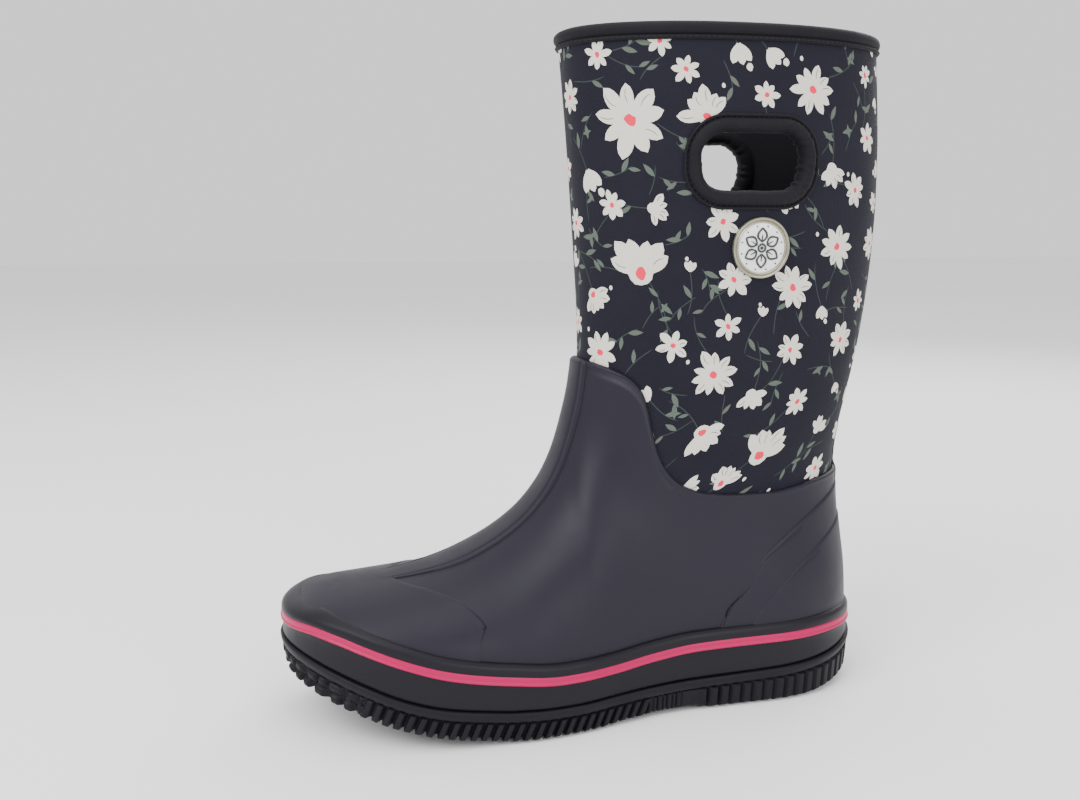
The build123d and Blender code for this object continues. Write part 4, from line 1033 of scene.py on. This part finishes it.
FLOWERS = [
    (0.2402, 282.2, 18.4, "d", 9), (0.2535, 218.2, 15.6, "f", 1.57), (0.5824, 128.1, 12.9, "f", 1.3), (0.4276, 164.9, 12.4, "d", 10),
    (0.3925, 287.3, 11.6, "f", 1.9), (0.6090, 296.6, 12.6, "d", 10), (0.5788, 205.8, 11.6, "d", 10), (0.6840, 224.8, 12.0, "d", 9),
    (0.4264, 236.7, 9.8, "d", 7), (0.1664, 311.2, 7.8, "d", 7), (0.3623, 304.1, 7.4, "d", 7), (0.0406, 294.0, 8.6, "d", 8),
    (0.5123, 293.5, 6.8, "d", 7), (0.4651, 312.0, 6.2, "b", -1.4), (0.5268, 311.0, 5.8, "b", -0.8), (0.1144, 256.7, 7.2, "b", -1.2),
    (0.1833, 244.2, 7.4, "d", 7), (0.2958, 242.0, 7.0, "f", -0.3), (0.1313, 174.8, 11.4, "d", 9), (0.3345, 179.0, 8.6, "d", 6),
    (0.1156, 199.8, 8.4, "f", -0.9), (0.4482, 187.9, 7.4, "d", 6), (0.4530, 209.9, 9.0, "d", 7), (0.5921, 175.8, 8.6, "d", 8),
    (0.7420, 179.0, 9.6, "d", 8), (0.6392, 149.6, 7.8, "d", 8), (0.5244, 152.2, 7.4, "f", -1.2), (0.4397, 134.2, 10.2, "f", -0.8),
    (0.5074, 113.6, 8.2, "f", 1.4), (0.7541, 113.7, 7.6, "d", 7), (0.3635, 215.6, 3.4, "b", 1.5), (0.5183, 194.2, 3.2, "b", 1.5),
    (0.6610, 193.8, 4.4, "b", -1.5), (0.6586, 258.4, 8.0, "f", -1.4), (0.7711, 305.5, 6.0, "d", 7), (0.7312, 251.6, 8.4, "d", 8),
    (0.7783, 276.5, 8.0, "d", 7), (0.3151, 316.4, 6.8, "d", 7), (0.0250, 236.0, 8.8, "d", 8), (0.4309, 107.5, 8.4, "f", 0.1)]


def lay_out():
    rng = random.Random(23)
    placed = []
    for a, z, R, kind, extra in FLOWERS:
        u = float(bilinear(TAB_U, np.array([a]), np.array([z]))[0])
        placed.append((u, z, R, kind, extra))
    lo_u, hi_u = TAB_U[0].min() + 2, TAB_U[-1].max() - 2
    tries = 0
    while tries < 5200:
        tries += 1
        u, z = rng.uniform(lo_u, hi_u), rng.uniform(100, 320)
        R = rng.choice((5.0, 6.5, 7.5, 8.5, 10.5, 12.0, 15.0)) if tries < 2600 else rng.choice((3.6, 5.0, 6.0))
        a = float(a_of(u, z))
        if 0.0 < a < 0.80 and tries < 2600 and R > 5:
            continue
        if any(math.hypot(u - q[0], z - q[1]) < (R + q[2]) * 1.06 + (4.2 if a < 0.0 or a > 0.80 else 5.5) for q in placed):
            continue
        if 0.0 < a < 0.80 and any(math.hypot(u - q[0], z - q[1]) < (R + q[2]) + 9 for q in placed):
            continue
        kind = "b" if R < 5.5 else rng.choice(("d", "d", "d", "f"))
        placed.append((u, z, R, kind, None))
    order = list(placed)
    for u, z, R, kind, extra in order:
        ang = extra if isinstance(extra, float) else rng.uniform(0, 6.28)
        if kind == "b" or kind == "f":
            back = ang + math.pi + rng.uniform(-0.3, 0.3)
            stalk(u, z, back, R * 1.2 + rng.uniform(13, 20), rng.choice((-1, 1)), 1 if kind == "b" else 2, rng, start=R * 0.3)
        elif rng.random() < 0.62:
            stalk(u, z, rng.uniform(0, 6.28), R + rng.uniform(13, 22), rng.choice((-1, 1)), rng.choice((1, 2)), rng, start=R * 0.7)
        if kind == "d":
            daisy(u, z, R, rng, petals=extra if isinstance(extra, int) else None)
        elif kind == "f":
            fan(u, z, R, rng, ang)
        else:
            bud(u, z, R, rng, ang)
    # loose sprigs in the gaps
    spots = [(q[0], q[1], q[2]) for q in placed]
    n = 0
    for _ in range(2400):
        u, z = rng.uniform(lo_u, hi_u), rng.uniform(104, 318)
        if min(math.hypot(u - q[0], z - q[1]) - q[2] for q in spots) > 5.2:
            spots.append((u, z, 7.0))
            ang = rng.uniform(0, 6.28)
            stalk(u - 7 * math.cos(ang), z - 7 * math.sin(ang), ang, rng.uniform(13, 19), rng.choice((-1, 1)), rng.choice((1, 2, 3)), rng)
            n += 1
    return placed


lay_out()


def hole_outline(side, grow, n=10):
    yc = HANDLE_Y + (0.0 if side > 0 else 4.0)
    l, h, r = HOLE_L / 2 + grow, HOLE_H / 2 + grow, 11.5 + grow
    pts = []
    for cx, cz, a0 in ((l - r, h - r, 0), (-l + r, h - r, 90), (-l + r, -h + r, 180), (l - r, -h + r, 270)):
        for i in range(n):
            q = math.radians(a0 + 90 * i / (n - 1))
            pts.append((yc + cx + r * math.cos(q), HANDLE_Z + cz + r * math.sin(q)))
    return np.array(pts)


def print_mesh():
    verts, faces, kinds = [], [], []

    def add_poly(P, kind):
        b = len(verts)
        verts.extend(Vector((float(x), float(y))) for x, y in P)
        faces.append(list(range(b, b + len(P))))
        kinds.append(kind)
    # sheet outline: from a little under the rubber's top line up into the collar
    ea = np.linspace(-1.0, 1.0, 321)
    zt = yz(ea, v_line(ea, TOPLINE))[1]
    lowz_ = np.array([zt[max(0, i - 5):i + 6].min() for i in range(len(zt))]) - 5.0
    low = np.c_[ea * KS, np.maximum(lowz_, 97.0)]
    top = np.c_[ea[::-2] * KS, np.full(len(ea[::-2]), 322.8)]
    add_poly(np.r_[low, top], "sheet")
    zlow_at = lambda s: np.interp(s, low[:, 0], low[:, 1])
    for side in (1, -1):
        H = hole_outline(side, 3.6)
        a = a_from_y(H[:, 0], H[:, 1], side)
        P = np.c_[a * KS, H[:, 1]]
        if side < 0:
            P = P[::-1]
        add_poly(P, "hole")
    for kind, P in SHAPES:
        z = np.clip(P[:, 1], 97.5, 322.4)
        if P[:, 1].max() < 99 or P[:, 1].min() > 321:
            continue
        a = a_of(P[:, 0], z)
        a = np.clip(a, -0.9995, 0.9995)
        S = np.c_[a * KS, z]
        if (S[:, 1] < zlow_at(S[:, 0]) - 2).all():
            continue
        x, y = S[:, 0], S[:, 1]
        area = 0.5 * np.sum(x * np.roll(y, -1) - np.roll(x, -1) * y)
        if abs(area) < 0.02:
            continue
        add_poly(S if area > 0 else S[::-1], kind)
    g = 3.0
    gx, gz = np.meshgrid(np.arange(-KS + 1.5, KS - 1, g), np.arange(98.5, 322, g))
    for x, z in zip(gx.ravel(), gz.ravel()):
        if z > zlow_at(x) + 1.0:
            verts.append(Vector((float(x) + 0.013 * (z % 7), float(z))))
    V2, _, F2, _, _, FO = delaunay_2d_cdt(verts, [], faces, 0, 1e-4)
    V2 = np.array([(v.x, v.y) for v in V2])
    F2 = np.array([f for f in F2 if len(f) == 3])
    cen = V2[F2].mean(axis=1)
    order = np.argsort(cen[:, 0])
    cx, cy = cen[order, 0], cen[order, 1]
    rank = {CORAL: 5, INKLINE: 4, CREAM: 3, SAGE: 2, STEM: 1}
    best, score, on_petal = np.zeros(len(cen), int), np.zeros(len(cen), int), np.zeros(len(cen), bool)
    inside_sheet, inside_hole = np.zeros(len(cen), bool), np.zeros(len(cen), bool)
    for face, kind in zip(faces, kinds):
        P = np.array([(verts[i][0], verts[i][1]) for i in face])
        i0, i1 = np.searchsorted(cx, P[:, 0].min()), np.searchsorted(cx, P[:, 0].max())
        k = np.arange(i0, i1)
        k = k[(cy[k] > P[:, 1].min()) & (cy[k] < P[:, 1].max())]
        if not len(k):
            continue
        x, y = cx[k][:, None], cy[k][:, None]
        x1, y1 = P[:, 0], P[:, 1]
        x2, y2 = np.roll(x1, -1), np.roll(y1, -1)
        dy = np.where(np.abs(y2 - y1) < 1e-12, 1e-12, y2 - y1)
        odd = ((((y1 > y) != (y2 > y)) & (x < (x2 - x1) * (y - y1) / dy + x1)).sum(axis=1) % 2) == 1
        t = order[k[odd]]
        if kind == "sheet":
            inside_sheet[t] = True
        elif kind == "hole":
            inside_hole[t] = True
        else:
            if kind == CREAM:
                on_petal[t] = True
            up_ = rank[kind] > score[t]
            best[t[up_]], score[t[up_]] = kind, rank[kind]
    # a drawn line shows only where it lies on a petal
    best[(best == INKLINE) & ~on_petal] = GROUND
    ok = inside_sheet & ~inside_hole
    keep = F2[ok].tolist()
    col = [COL[b] for b in best[ok]]
    used = np.zeros(len(V2), bool)
    used[np.unique([i for f in keep for i in f])] = True
    remap = np.cumsum(used) - 1
    V2 = V2[used]
    keep = [[int(remap[i]) for i in f] for f in keep]
    return V2, keep, np.array(col)


V2, T2, C2 = print_mesh()
a2, z2 = V2[:, 0] / KS, V2[:, 1]
PO, NO = on_shaft(a2, z2, -2.2)
PI = PO - 4.5 * NO
# borders of the cut sheet
from collections import Counter
cnt = Counter()
for f in T2:
    for i in range(3):
        cnt[(f[i], f[(i + 1) % 3])] += 1
rim = [e for e in cnt if (e[1], e[0]) not in cnt]
nv = len(PO)
T_ = np.array(T2)
up = (np.cross(PO[T_[:, 1]] - PO[T_[:, 0]], PO[T_[:, 2]] - PO[T_[:, 0]]) * NO[T_[:, 0]]).sum() > 0
Fo = T2 if up else [f[::-1] for f in T2]
Fi = [[i + nv for i in f[::-1]] for f in Fo]
Fw = [[b, a, a + nv, b + nv] if up else [a, b, b + nv, a + nv] for a, b in rim if not (abs(V2[a, 0]) > KS - 0.01 and abs(V2[b, 0]) > KS - 0.01)]
uvs = np.c_[bilinear(TAB_U, a2, z2), z2]
dark = (0.012, 0.012, 0.016)
cols = np.r_[C2, np.tile(dark, (len(Fi) + len(Fw), 1))]
# the two ends of the sheet meet under the rear seam tape; the left end's vertices are listed by height
allP = np.r_[PO, PI]
key = {}
left = {round(float(V2[i, 1]), 3): i for i in range(nv) if V2[i, 0] < -KS + 0.01}
make("printed_shaft", allP, Fo + Fi + Fw, [PRINTED, LINING], nodes=["neoprene_shaft"], slot="printed_neoprene", uv=np.r_[uvs, uvs], colour=cols,
     normals=np.r_[NO, -NO], idx=[0] * len(Fo) + [1] * (len(Fi) + len(Fw)))
print("print faces", len(Fo), "rim", len(rim), flush=True)

# ---------------------------------------------------------------- collar binding
ca_ = np.linspace(0, 2, 361)[:-1]


def rim_sections(prof, ruffle=0.0, a_=ca_):
    rows_ = []
    for z, t in prof:
        y_, z_ = yz(np.repeat(a_[:, None], len(VF), 1), np.tile(VF, (len(a_), 1)))
        v = crossing(z_ - z)
        P, N = surf(a_, v), normal(a_, v)
        N[:, 2] = 0
        N /= np.linalg.norm(N, axis=1, keepdims=True)
        Q = P + (t + ruffle * (t > -4) * (np.sin(a_ * 97) * 0.5 + np.sin(a_ * 61 + 1) * 0.5))[:, None] * N
        Q[:, 2] = z
        rows_.append(Q)
    return np.stack(rows_, axis=1)


COLLAR = [(317.0, -2.5), (316.9, -1.55), (317.3, -1.05), (318.0, -0.85), (318.7, -1.0), (319.05, -1.5), (319.25, -1.75), (319.5, -1.45), (320.0, -0.85),
          (321.0, -0.40), (322.2, -0.35), (323.4, -0.75), (324.4, -1.75), (325.0, -3.2), (325.0, -5.4), (324.4, -7.0), (323.2, -8.1), (321.4, -8.5),
          (319.4, -8.5), (317.6, -8.0), (317.0, -7.0), (317.6, -6.7), (322.0, -6.2), (322.0, -2.7), (318.0, -2.5)]
tube("collar_roll", rim_sections(COLLAR, 0.05), BINDING, ring=True, sharp=60, nodes=["collar_binding"], slot="binding_fabric")


def stitches(name, pts, nrm, pitch=2.6, length=1.7, w=0.42, ring=True, slot="binding_fabric"):
    """row of thread stitches lying along a path on a surface"""
    P = np.asarray(pts, float)
    Nn = np.asarray(nrm, float)
    if ring:
        P, Nn = np.r_[P, P[:1]], np.r_[Nn, Nn[:1]]
    L = np.r_[0, np.cumsum(np.linalg.norm(np.diff(P, axis=0), axis=1))]
    n = int(L[-1] / pitch)
    V, F = [], []
    for k in range(n):
        c = (k + 0.5) * L[-1] / n
        ts = np.linspace(c - length / 2, c + length / 2, 7)
        Q = np.stack([np.interp(ts, L, P[:, i]) for i in range(3)], 1)
        M = np.stack([np.interp(ts, L, Nn[:, i]) for i in range(3)], 1)
        M /= np.linalg.norm(M, axis=1, keepdims=True)
        lift = np.sin(np.linspace(0, math.pi, 7)) * 0.26 - 0.12
        T = np.gradient(Q, axis=0)
        T /= np.linalg.norm(T, axis=1, keepdims=True)
        B = np.cross(T, M)
        r = w / 2 * np.sqrt(np.clip(1 - np.linspace(-0.97, 0.97, 7) ** 4, 0.05, 1))
        b = len(V)
        for i in range(7):
            for j in range(6):
                q = 2 * math.pi * j / 6
                V.append(Q[i] + M[i] * (lift[i] + r[i] * math.sin(q) * 0.8) + B[i] * r[i] * math.cos(q))
        F += tube_faces(7, 6, False, base=b)
    return make(name, np.array(V), F, STITCH, slot=slot)


def path_at(z, off, a_=ca_):
    y_, z_ = yz(np.repeat(a_[:, None], len(VF), 1), np.tile(VF, (len(a_), 1)))
    v = crossing(z_ - z)
    P, N = surf(a_, v), normal(a_, v)
    return P + off * N, N


sp, sn = path_at(318.0, -0.80)
stitches("collar_stitching", sp, sn, pitch=2.7, length=1.8, w=0.34)

# ---------------------------------------------------------------- rear seam tape
zt_ = np.linspace(134.0, 317.6, 100)


def tape(U, K, P):
    w = np.minimum(U, 1 - U) * 14.0
    puff = 0.55 * bevel(w, 1.2) - 0.35 * np.exp(-((w - 2.0) / 0.45) ** 2) + 0.05 * np.sin(K * 260) * (w < 2.0)
    return -2.15 + puff, np.full_like(U, -2.6)


band("rear_seam_tape", v_back_z(zt_), np.full(100, BACK_X + 0.6 - 7), np.full(100, BACK_X + 0.6 + 7), tape, BINDING, back=True,
     nodes=["back_seam_tape"], slot="binding_fabric")

# ---------------------------------------------------------------- handle bindings
def side_point(y, z, side, t):
    """point on one side of the shaft, t outward from the outer surface; with the outward direction"""
    X = lambda yy, zz: xcen(yy, zz) + side * halfw(yy, zz, side)
    x = X(y, z)
    gy = (X(y + 0.5, z) - X(y - 0.5, z)) / 1.0
    gz = (X(y, z + 0.5) - X(y, z - 0.5)) / 1.0
    N = np.stack([np.full_like(x, side), -side * gy, -side * gz], -1)
    N /= np.linalg.norm(N, axis=-1, keepdims=True)
    return np.stack([x, y, z], -1) + np.asarray(t)[..., None] * N, N


def loop_path(side, n=300):
    """the finger opening's edge, evenly stepped, with outward directions in the side view"""
    yc = HANDLE_Y + (0.0 if side > 0 else 4.0)
    pts, dirs = [], []
    l, h, r = HOLE_L / 2, HOLE_H / 2, 11.5
    for cx, cz, a0 in ((l - r, h - r, 0), (-l + r, h - r, 90), (-l + r, -h + r, 180), (l - r, -h + r, 270)):
        for i in range(24):
            q = math.radians(a0 + 90 * i / 23)
            pts.append((yc + cx + r * math.cos(q), HANDLE_Z + cz + r * math.sin(q)))
            dirs.append((math.cos(q), math.sin(q)))
    P, D = np.array(pts + pts[:1]), np.array(dirs + dirs[:1])
    L = np.r_[0, np.cumsum(np.hypot(*np.diff(P, axis=0).T))]
    t = np.linspace(0, L[-1], n + 1)[:-1]
    Q = np.stack([np.interp(t, L, P[:, i]) for i in range(2)], 1)
    E = np.stack([np.interp(t, L, D[:, i]) for i in range(2)], 1)
    E /= np.linalg.norm(E, axis=1, keepdims=True)
    return Q, E, t / L[-1], L[-1]


ROLL = [(7.75, -2.45), (7.85, -1.7), (7.65, -1.05), (7.2, -0.72), (6.7, -0.9), (6.35, -1.5), (6.1, -1.75), (5.8, -1.35), (5.2, -0.45), (4.2, 0.35),
        (3.0, 0.70), (1.8, 0.45), (0.8, -0.25), (0.0, -1.4), (-0.6, -2.9), (-0.85, -4.6), (-0.6, -6.3), (0.1, -7.8), (1.2, -8.9), (2.7, -9.4),
        (4.6, -9.2), (6.4, -8.6), (7.6, -7.9), (7.7, -7.1), (6.0, -6.9), (4.0, -6.8), (4.0, -2.6), (6.0, -2.6)]


def handle(name, side, node):
    Q, E, tt, LL = loop_path(side)
    # gathers: strongest round the rear end, where the binding is joined, and lighter at the corners
    rear = np.exp(-((Q[:, 0] - Q[:, 0].max()) / 9.0) ** 2)
    s = tt * LL
    gather = (0.10 + 0.75 * rear) * (0.6 * np.sin(s * 1.55) + 0.4 * np.sin(s * 2.3 + 1.0))
    slow = 0.22 * np.sin(s * 0.42 + 0.6)
    low = Q[:, 1] < HANDLE_Z
    S = []
    for d, t in ROLL:
        roll = math.exp(-((d - 1.5) / 3.2) ** 2) if t > -8.5 else 0.4
        dd = d + (gather * 0.8 + slow) * (1 if d < 5.5 else 0) * roll + (0.5 if d < 5.5 else 0) * np.where(low, 0.0, 0.35)
        tq = t + gather * 0.9 * roll * (1 if -6 < t else 0.5) * (d < 5.6)
        y, z = Q[:, 0] + E[:, 0] * dd, Q[:, 1] + E[:, 1] * dd
        S.append(side_point(y, z, side, tq)[0])
    S = np.stack(S, axis=1)
    ob = tube(name, S, BINDING, ring=True, sharp=70, flip=side < 0, nodes=[node], slot="binding_fabric")
    y, z = Q[:, 0] + E[:, 0] * 6.1, Q[:, 1] + E[:, 1] * 6.1
    P, N = side_point(y, z, side, np.full(len(y), -1.62))
    stitches(name.replace("roll", "stitching"), P, N, pitch=2.6, length=1.7, w=0.36)
    return ob


handle("lateral_handle_roll", 1, "handle_binding_lateral")
handle("medial_handle_roll", -1, "handle_binding_medial")

# ---------------------------------------------------------------- badge
_c, _n = side_point(np.array([BADGE_Y]), np.array([BADGE_Z]), 1, np.array([-2.2]))
BC, BN = _c[0], _n[0]
BT = np.array([0.0, 1.0, 0.0]) - BN[1] * BN
BT /= np.linalg.norm(BT)
BU = np.cross(BN, BT)
if BU[2] < 0:
    BU = -BU


def lathe(name, prof, mat, n=128, nodes=(), slot=None, wob=0.0, sharp=35):
    """closed ring profile (radius, height) turned round the badge's axis"""
    th = np.linspace(0, 2 * math.pi, n, endpoint=False)
    S = np.stack([BC + (r * np.cos(th))[:, None] * BT + (r * np.sin(th))[:, None] * BU + h * BN for r, h in prof], axis=1)
    return tube(name, S, mat, ring=True, sharp=sharp, flip=True, nodes=nodes, slot=slot)


lathe("badge_rim", [(14.2, -0.1), (14.2, 0.9), (14.0, 1.45), (13.55, 1.75), (13.1, 1.6), (12.85, 1.25), (12.7, 1.15), (12.5, 1.3), (12.15, 1.65), (11.8, 1.55),
                    (11.6, 1.2), (11.5, 0.6), (11.5, -0.1)], METAL, nodes=["badge_bezel"], slot="badge_metal")
lathe("badge_disc", [(0.01, 1.32), (3.0, 1.31), (6.0, 1.27), (9.0, 1.18), (11.0, 1.05), (11.6, 0.9), (11.6, 0.2), (0.01, 0.2)], ENAMEL, nodes=["badge_face"],
      slot="badge_enamel")


def motif():
    V, F = [], []

    def bar(pts, w, h0=1.2, h1=1.72):
        """raised line with a rounded top, along points in the badge's plane"""
        P = np.array(pts, float)
        T = np.gradient(P, axis=0)
        T /= np.maximum(np.linalg.norm(T, axis=1, keepdims=True), 1e-9)
        B = np.c_[-T[:, 1], T[:, 0]]
        n = len(P)
        ww = np.full(n, w) if np.isscalar(w) else np.asarray(w, float)
        b = len(V)
        for i in range(n):
            for sx, hh in ((1.0, h0), (1.0, h1 - 0.16), (0.72, h1), (-0.72, h1), (-1.0, h1 - 0.16), (-1.0, h0)):
                q = P[i] + B[i] * sx * ww[i] / 2
                V.append(BC + q[0] * BT + q[1] * BU + hh * BN)
        F.extend(tube_faces(n, 6, False, base=b))
    for k in range(6):                          # six plain petals
        a = math.radians(90 + 60 * k)
        d = np.array([math.cos(a), math.sin(a)])
        e = np.array([-d[1], d[0]])
        t = np.linspace(0, 1, 15)
        for sg in (1, -1):
            bar([d * (2.9 + 6.3 * q) + e * sg * 2.25 * math.sin(math.pi * q ** 0.9) for q in t], 0.75 + 0.25 * np.sin(math.pi * t))
        bar([d * (3.6 + 2.6 * q) for q in np.linspace(0, 1, 6)], np.linspace(0.65, 0.35, 6))
    th = np.linspace(0, 2 * math.pi, 31)
    bar([(1.75 * math.cos(q), 1.75 * math.sin(q)) for q in th], 1.0)
    bar([(0.42 * math.cos(q), 0.42 * math.sin(q)) for q in th], 0.8)
    for k in range(12):
        a = math.radians(15 + 30 * k)
        d = np.array([math.cos(a), math.sin(a)])
        bar([d * 9.85, d * 10.2, d * 10.55], 0.55, 1.05, 1.5)
    return make("badge_rosette", np.array(V), F, INK, sharp=35, nodes=["badge_motif"], slot="badge_ink")


motif()

# ---------------------------------------------------------------- inside: sock and insole
sa = np.linspace(0, 2, 241)[:-1]
v0s, v1s = v_line(sa, lambda y: ZFLOOR(y) + 2.2), v_line(sa, lambda y: 96.5 + 0 * y)
skin("sock_liner", sa, v0s, v1s, -6.9, -2.7, LINING, n=46, edges=(False, False), r=0.5, ring=True, line_at=(), nodes=["neoprene_sock"], slot="plain_neoprene")


def insole():
    grow = GROW - 2.2 - 4.5 - 2.0
    ys = np.r_[np.linspace(0, 1, 90)]
    ys = (TOE_Y - grow + 0.15) + (1 - np.cos(math.pi * ys)) / 2 * (HEEL_Y - TOE_Y + 2 * grow - 0.3)
    us = np.sin(np.linspace(-math.pi / 2, math.pi / 2, 33))
    top, low = [], []
    for y in ys:
        xl, xm = float(plan(y, 1, grow)), float(plan(y, -1, grow))
        x = np.where(us > 0, us * xl, us * xm)
        base = float(ZFLOOR(y)) + 5.5
        crown = 5.0 - 3.0 * np.clip((np.abs(us) - 0.86) / 0.14, 0, 1) ** 2
        cup = 1.6 * smooth(np.abs(us), 0.45, 0.95) * float(smooth(y, 20, 90)) + 2.0 * float(np.exp(-((y - 32) / 26.0) ** 2)) * smooth(-us, 0.1, 0.9)
        heel = -1.4 * float(np.exp(-((y - 108) / 26.0) ** 2)) * (1 - us ** 2)
        ball = -0.8 * float(np.exp(-((y + 58) / 26.0) ** 2)) * (1 - us ** 2)
        top.append(np.stack([x, np.full_like(x, y), base + crown + cup + heel + ball], -1))
        low.append(np.stack([x, np.full_like(x, y), np.full_like(x, base)], -1))
    S = np.concatenate([np.array(top), np.array(low)[:, ::-1]], axis=1)
    ob = tube("insole_pad", S, INSOLE, ring=False, sharp=50, nodes=["insole"], slot="insole_fabric")


insole()

# ---------------------------------------------------------------- stage, light, camera
def plain(name, colour, rough=0.9):
    m = bpy.data.materials.new(name)
    t, b = nodes_of(m)
    b.inputs["Base Color"].default_value = (*colour, 1)
    b.inputs["Roughness"].default_value = rough
    b.inputs["Specular IOR Level"].default_value = 0.1
    return m


fm = bpy.data.meshes.new("floor")
fm.from_pydata([(-6, -6, -0.0002), (6, -6, -0.0002), (6, 6, -0.0002), (-6, 6, -0.0002)], [], [(0, 1, 2, 3)])
fm.materials.append(plain("floor_look", (0.93, 0.93, 0.93)))
floor = bpy.data.objects.new("floor", fm)
bpy.context.scene.collection.objects.link(floor)

world = bpy.data.worlds.new("studio")
bpy.context.scene.world = world
world.use_nodes = True
world.node_tree.nodes["Background"].inputs[0].default_value = (1, 1, 1, 1)
world.node_tree.nodes["Background"].inputs[1].default_value = 1.12


def area(name, at, aim, size, power, colour=(1, 1, 1)):
    d = bpy.data.lights.new(name, "AREA")
    d.shape = "RECTANGLE"
    d.size, d.size_y = size
    d.energy = power
    d.color = colour
    o = bpy.data.objects.new(name, d)
    o.location = at
    o.rotation_euler = (Vector(aim) - Vector(at)).to_track_quat("-Z", "Y").to_euler()
    bpy.context.scene.collection.objects.link(o)
    return o


area("key", (0.75, -1.15, 1.35), (0, 0, 0.12), (1.1, 1.1), 26)
area("side", (1.5, 0.55, 0.75), (0, 0, 0.18), (0.9, 1.2), 11)
area("rim", (-0.9, 0.9, 1.0), (0, 0, 0.2), (0.9, 0.9), 9)
area("top", (0.1, -0.1, 1.8), (0, 0, 0.1), (1.4, 1.4), 14)

cam_d = bpy.data.cameras.new("camera")
cam_d.sensor_fit = "HORIZONTAL"
cam_d.sensor_width = 36.0
cam_d.lens = 1100.0 / 1080.0 * 36.0
cam_d.clip_start, cam_d.clip_end = 0.01, 50
cam = bpy.data.objects.new("camera", cam_d)
bpy.context.scene.collection.objects.link(cam)
cam.location = ((523.98 - DX) / 1000, (-142.83 - DY) / 1000, 0.23686)
yaw, pitch = math.radians(166.4337), math.radians(-9.22299)
look = Vector((math.cos(yaw) * math.cos(pitch), math.sin(yaw) * math.cos(pitch), math.sin(pitch)))
cam.rotation_euler = look.to_track_quat("-Z", "Y").to_euler()
bpy.context.scene.camera = cam
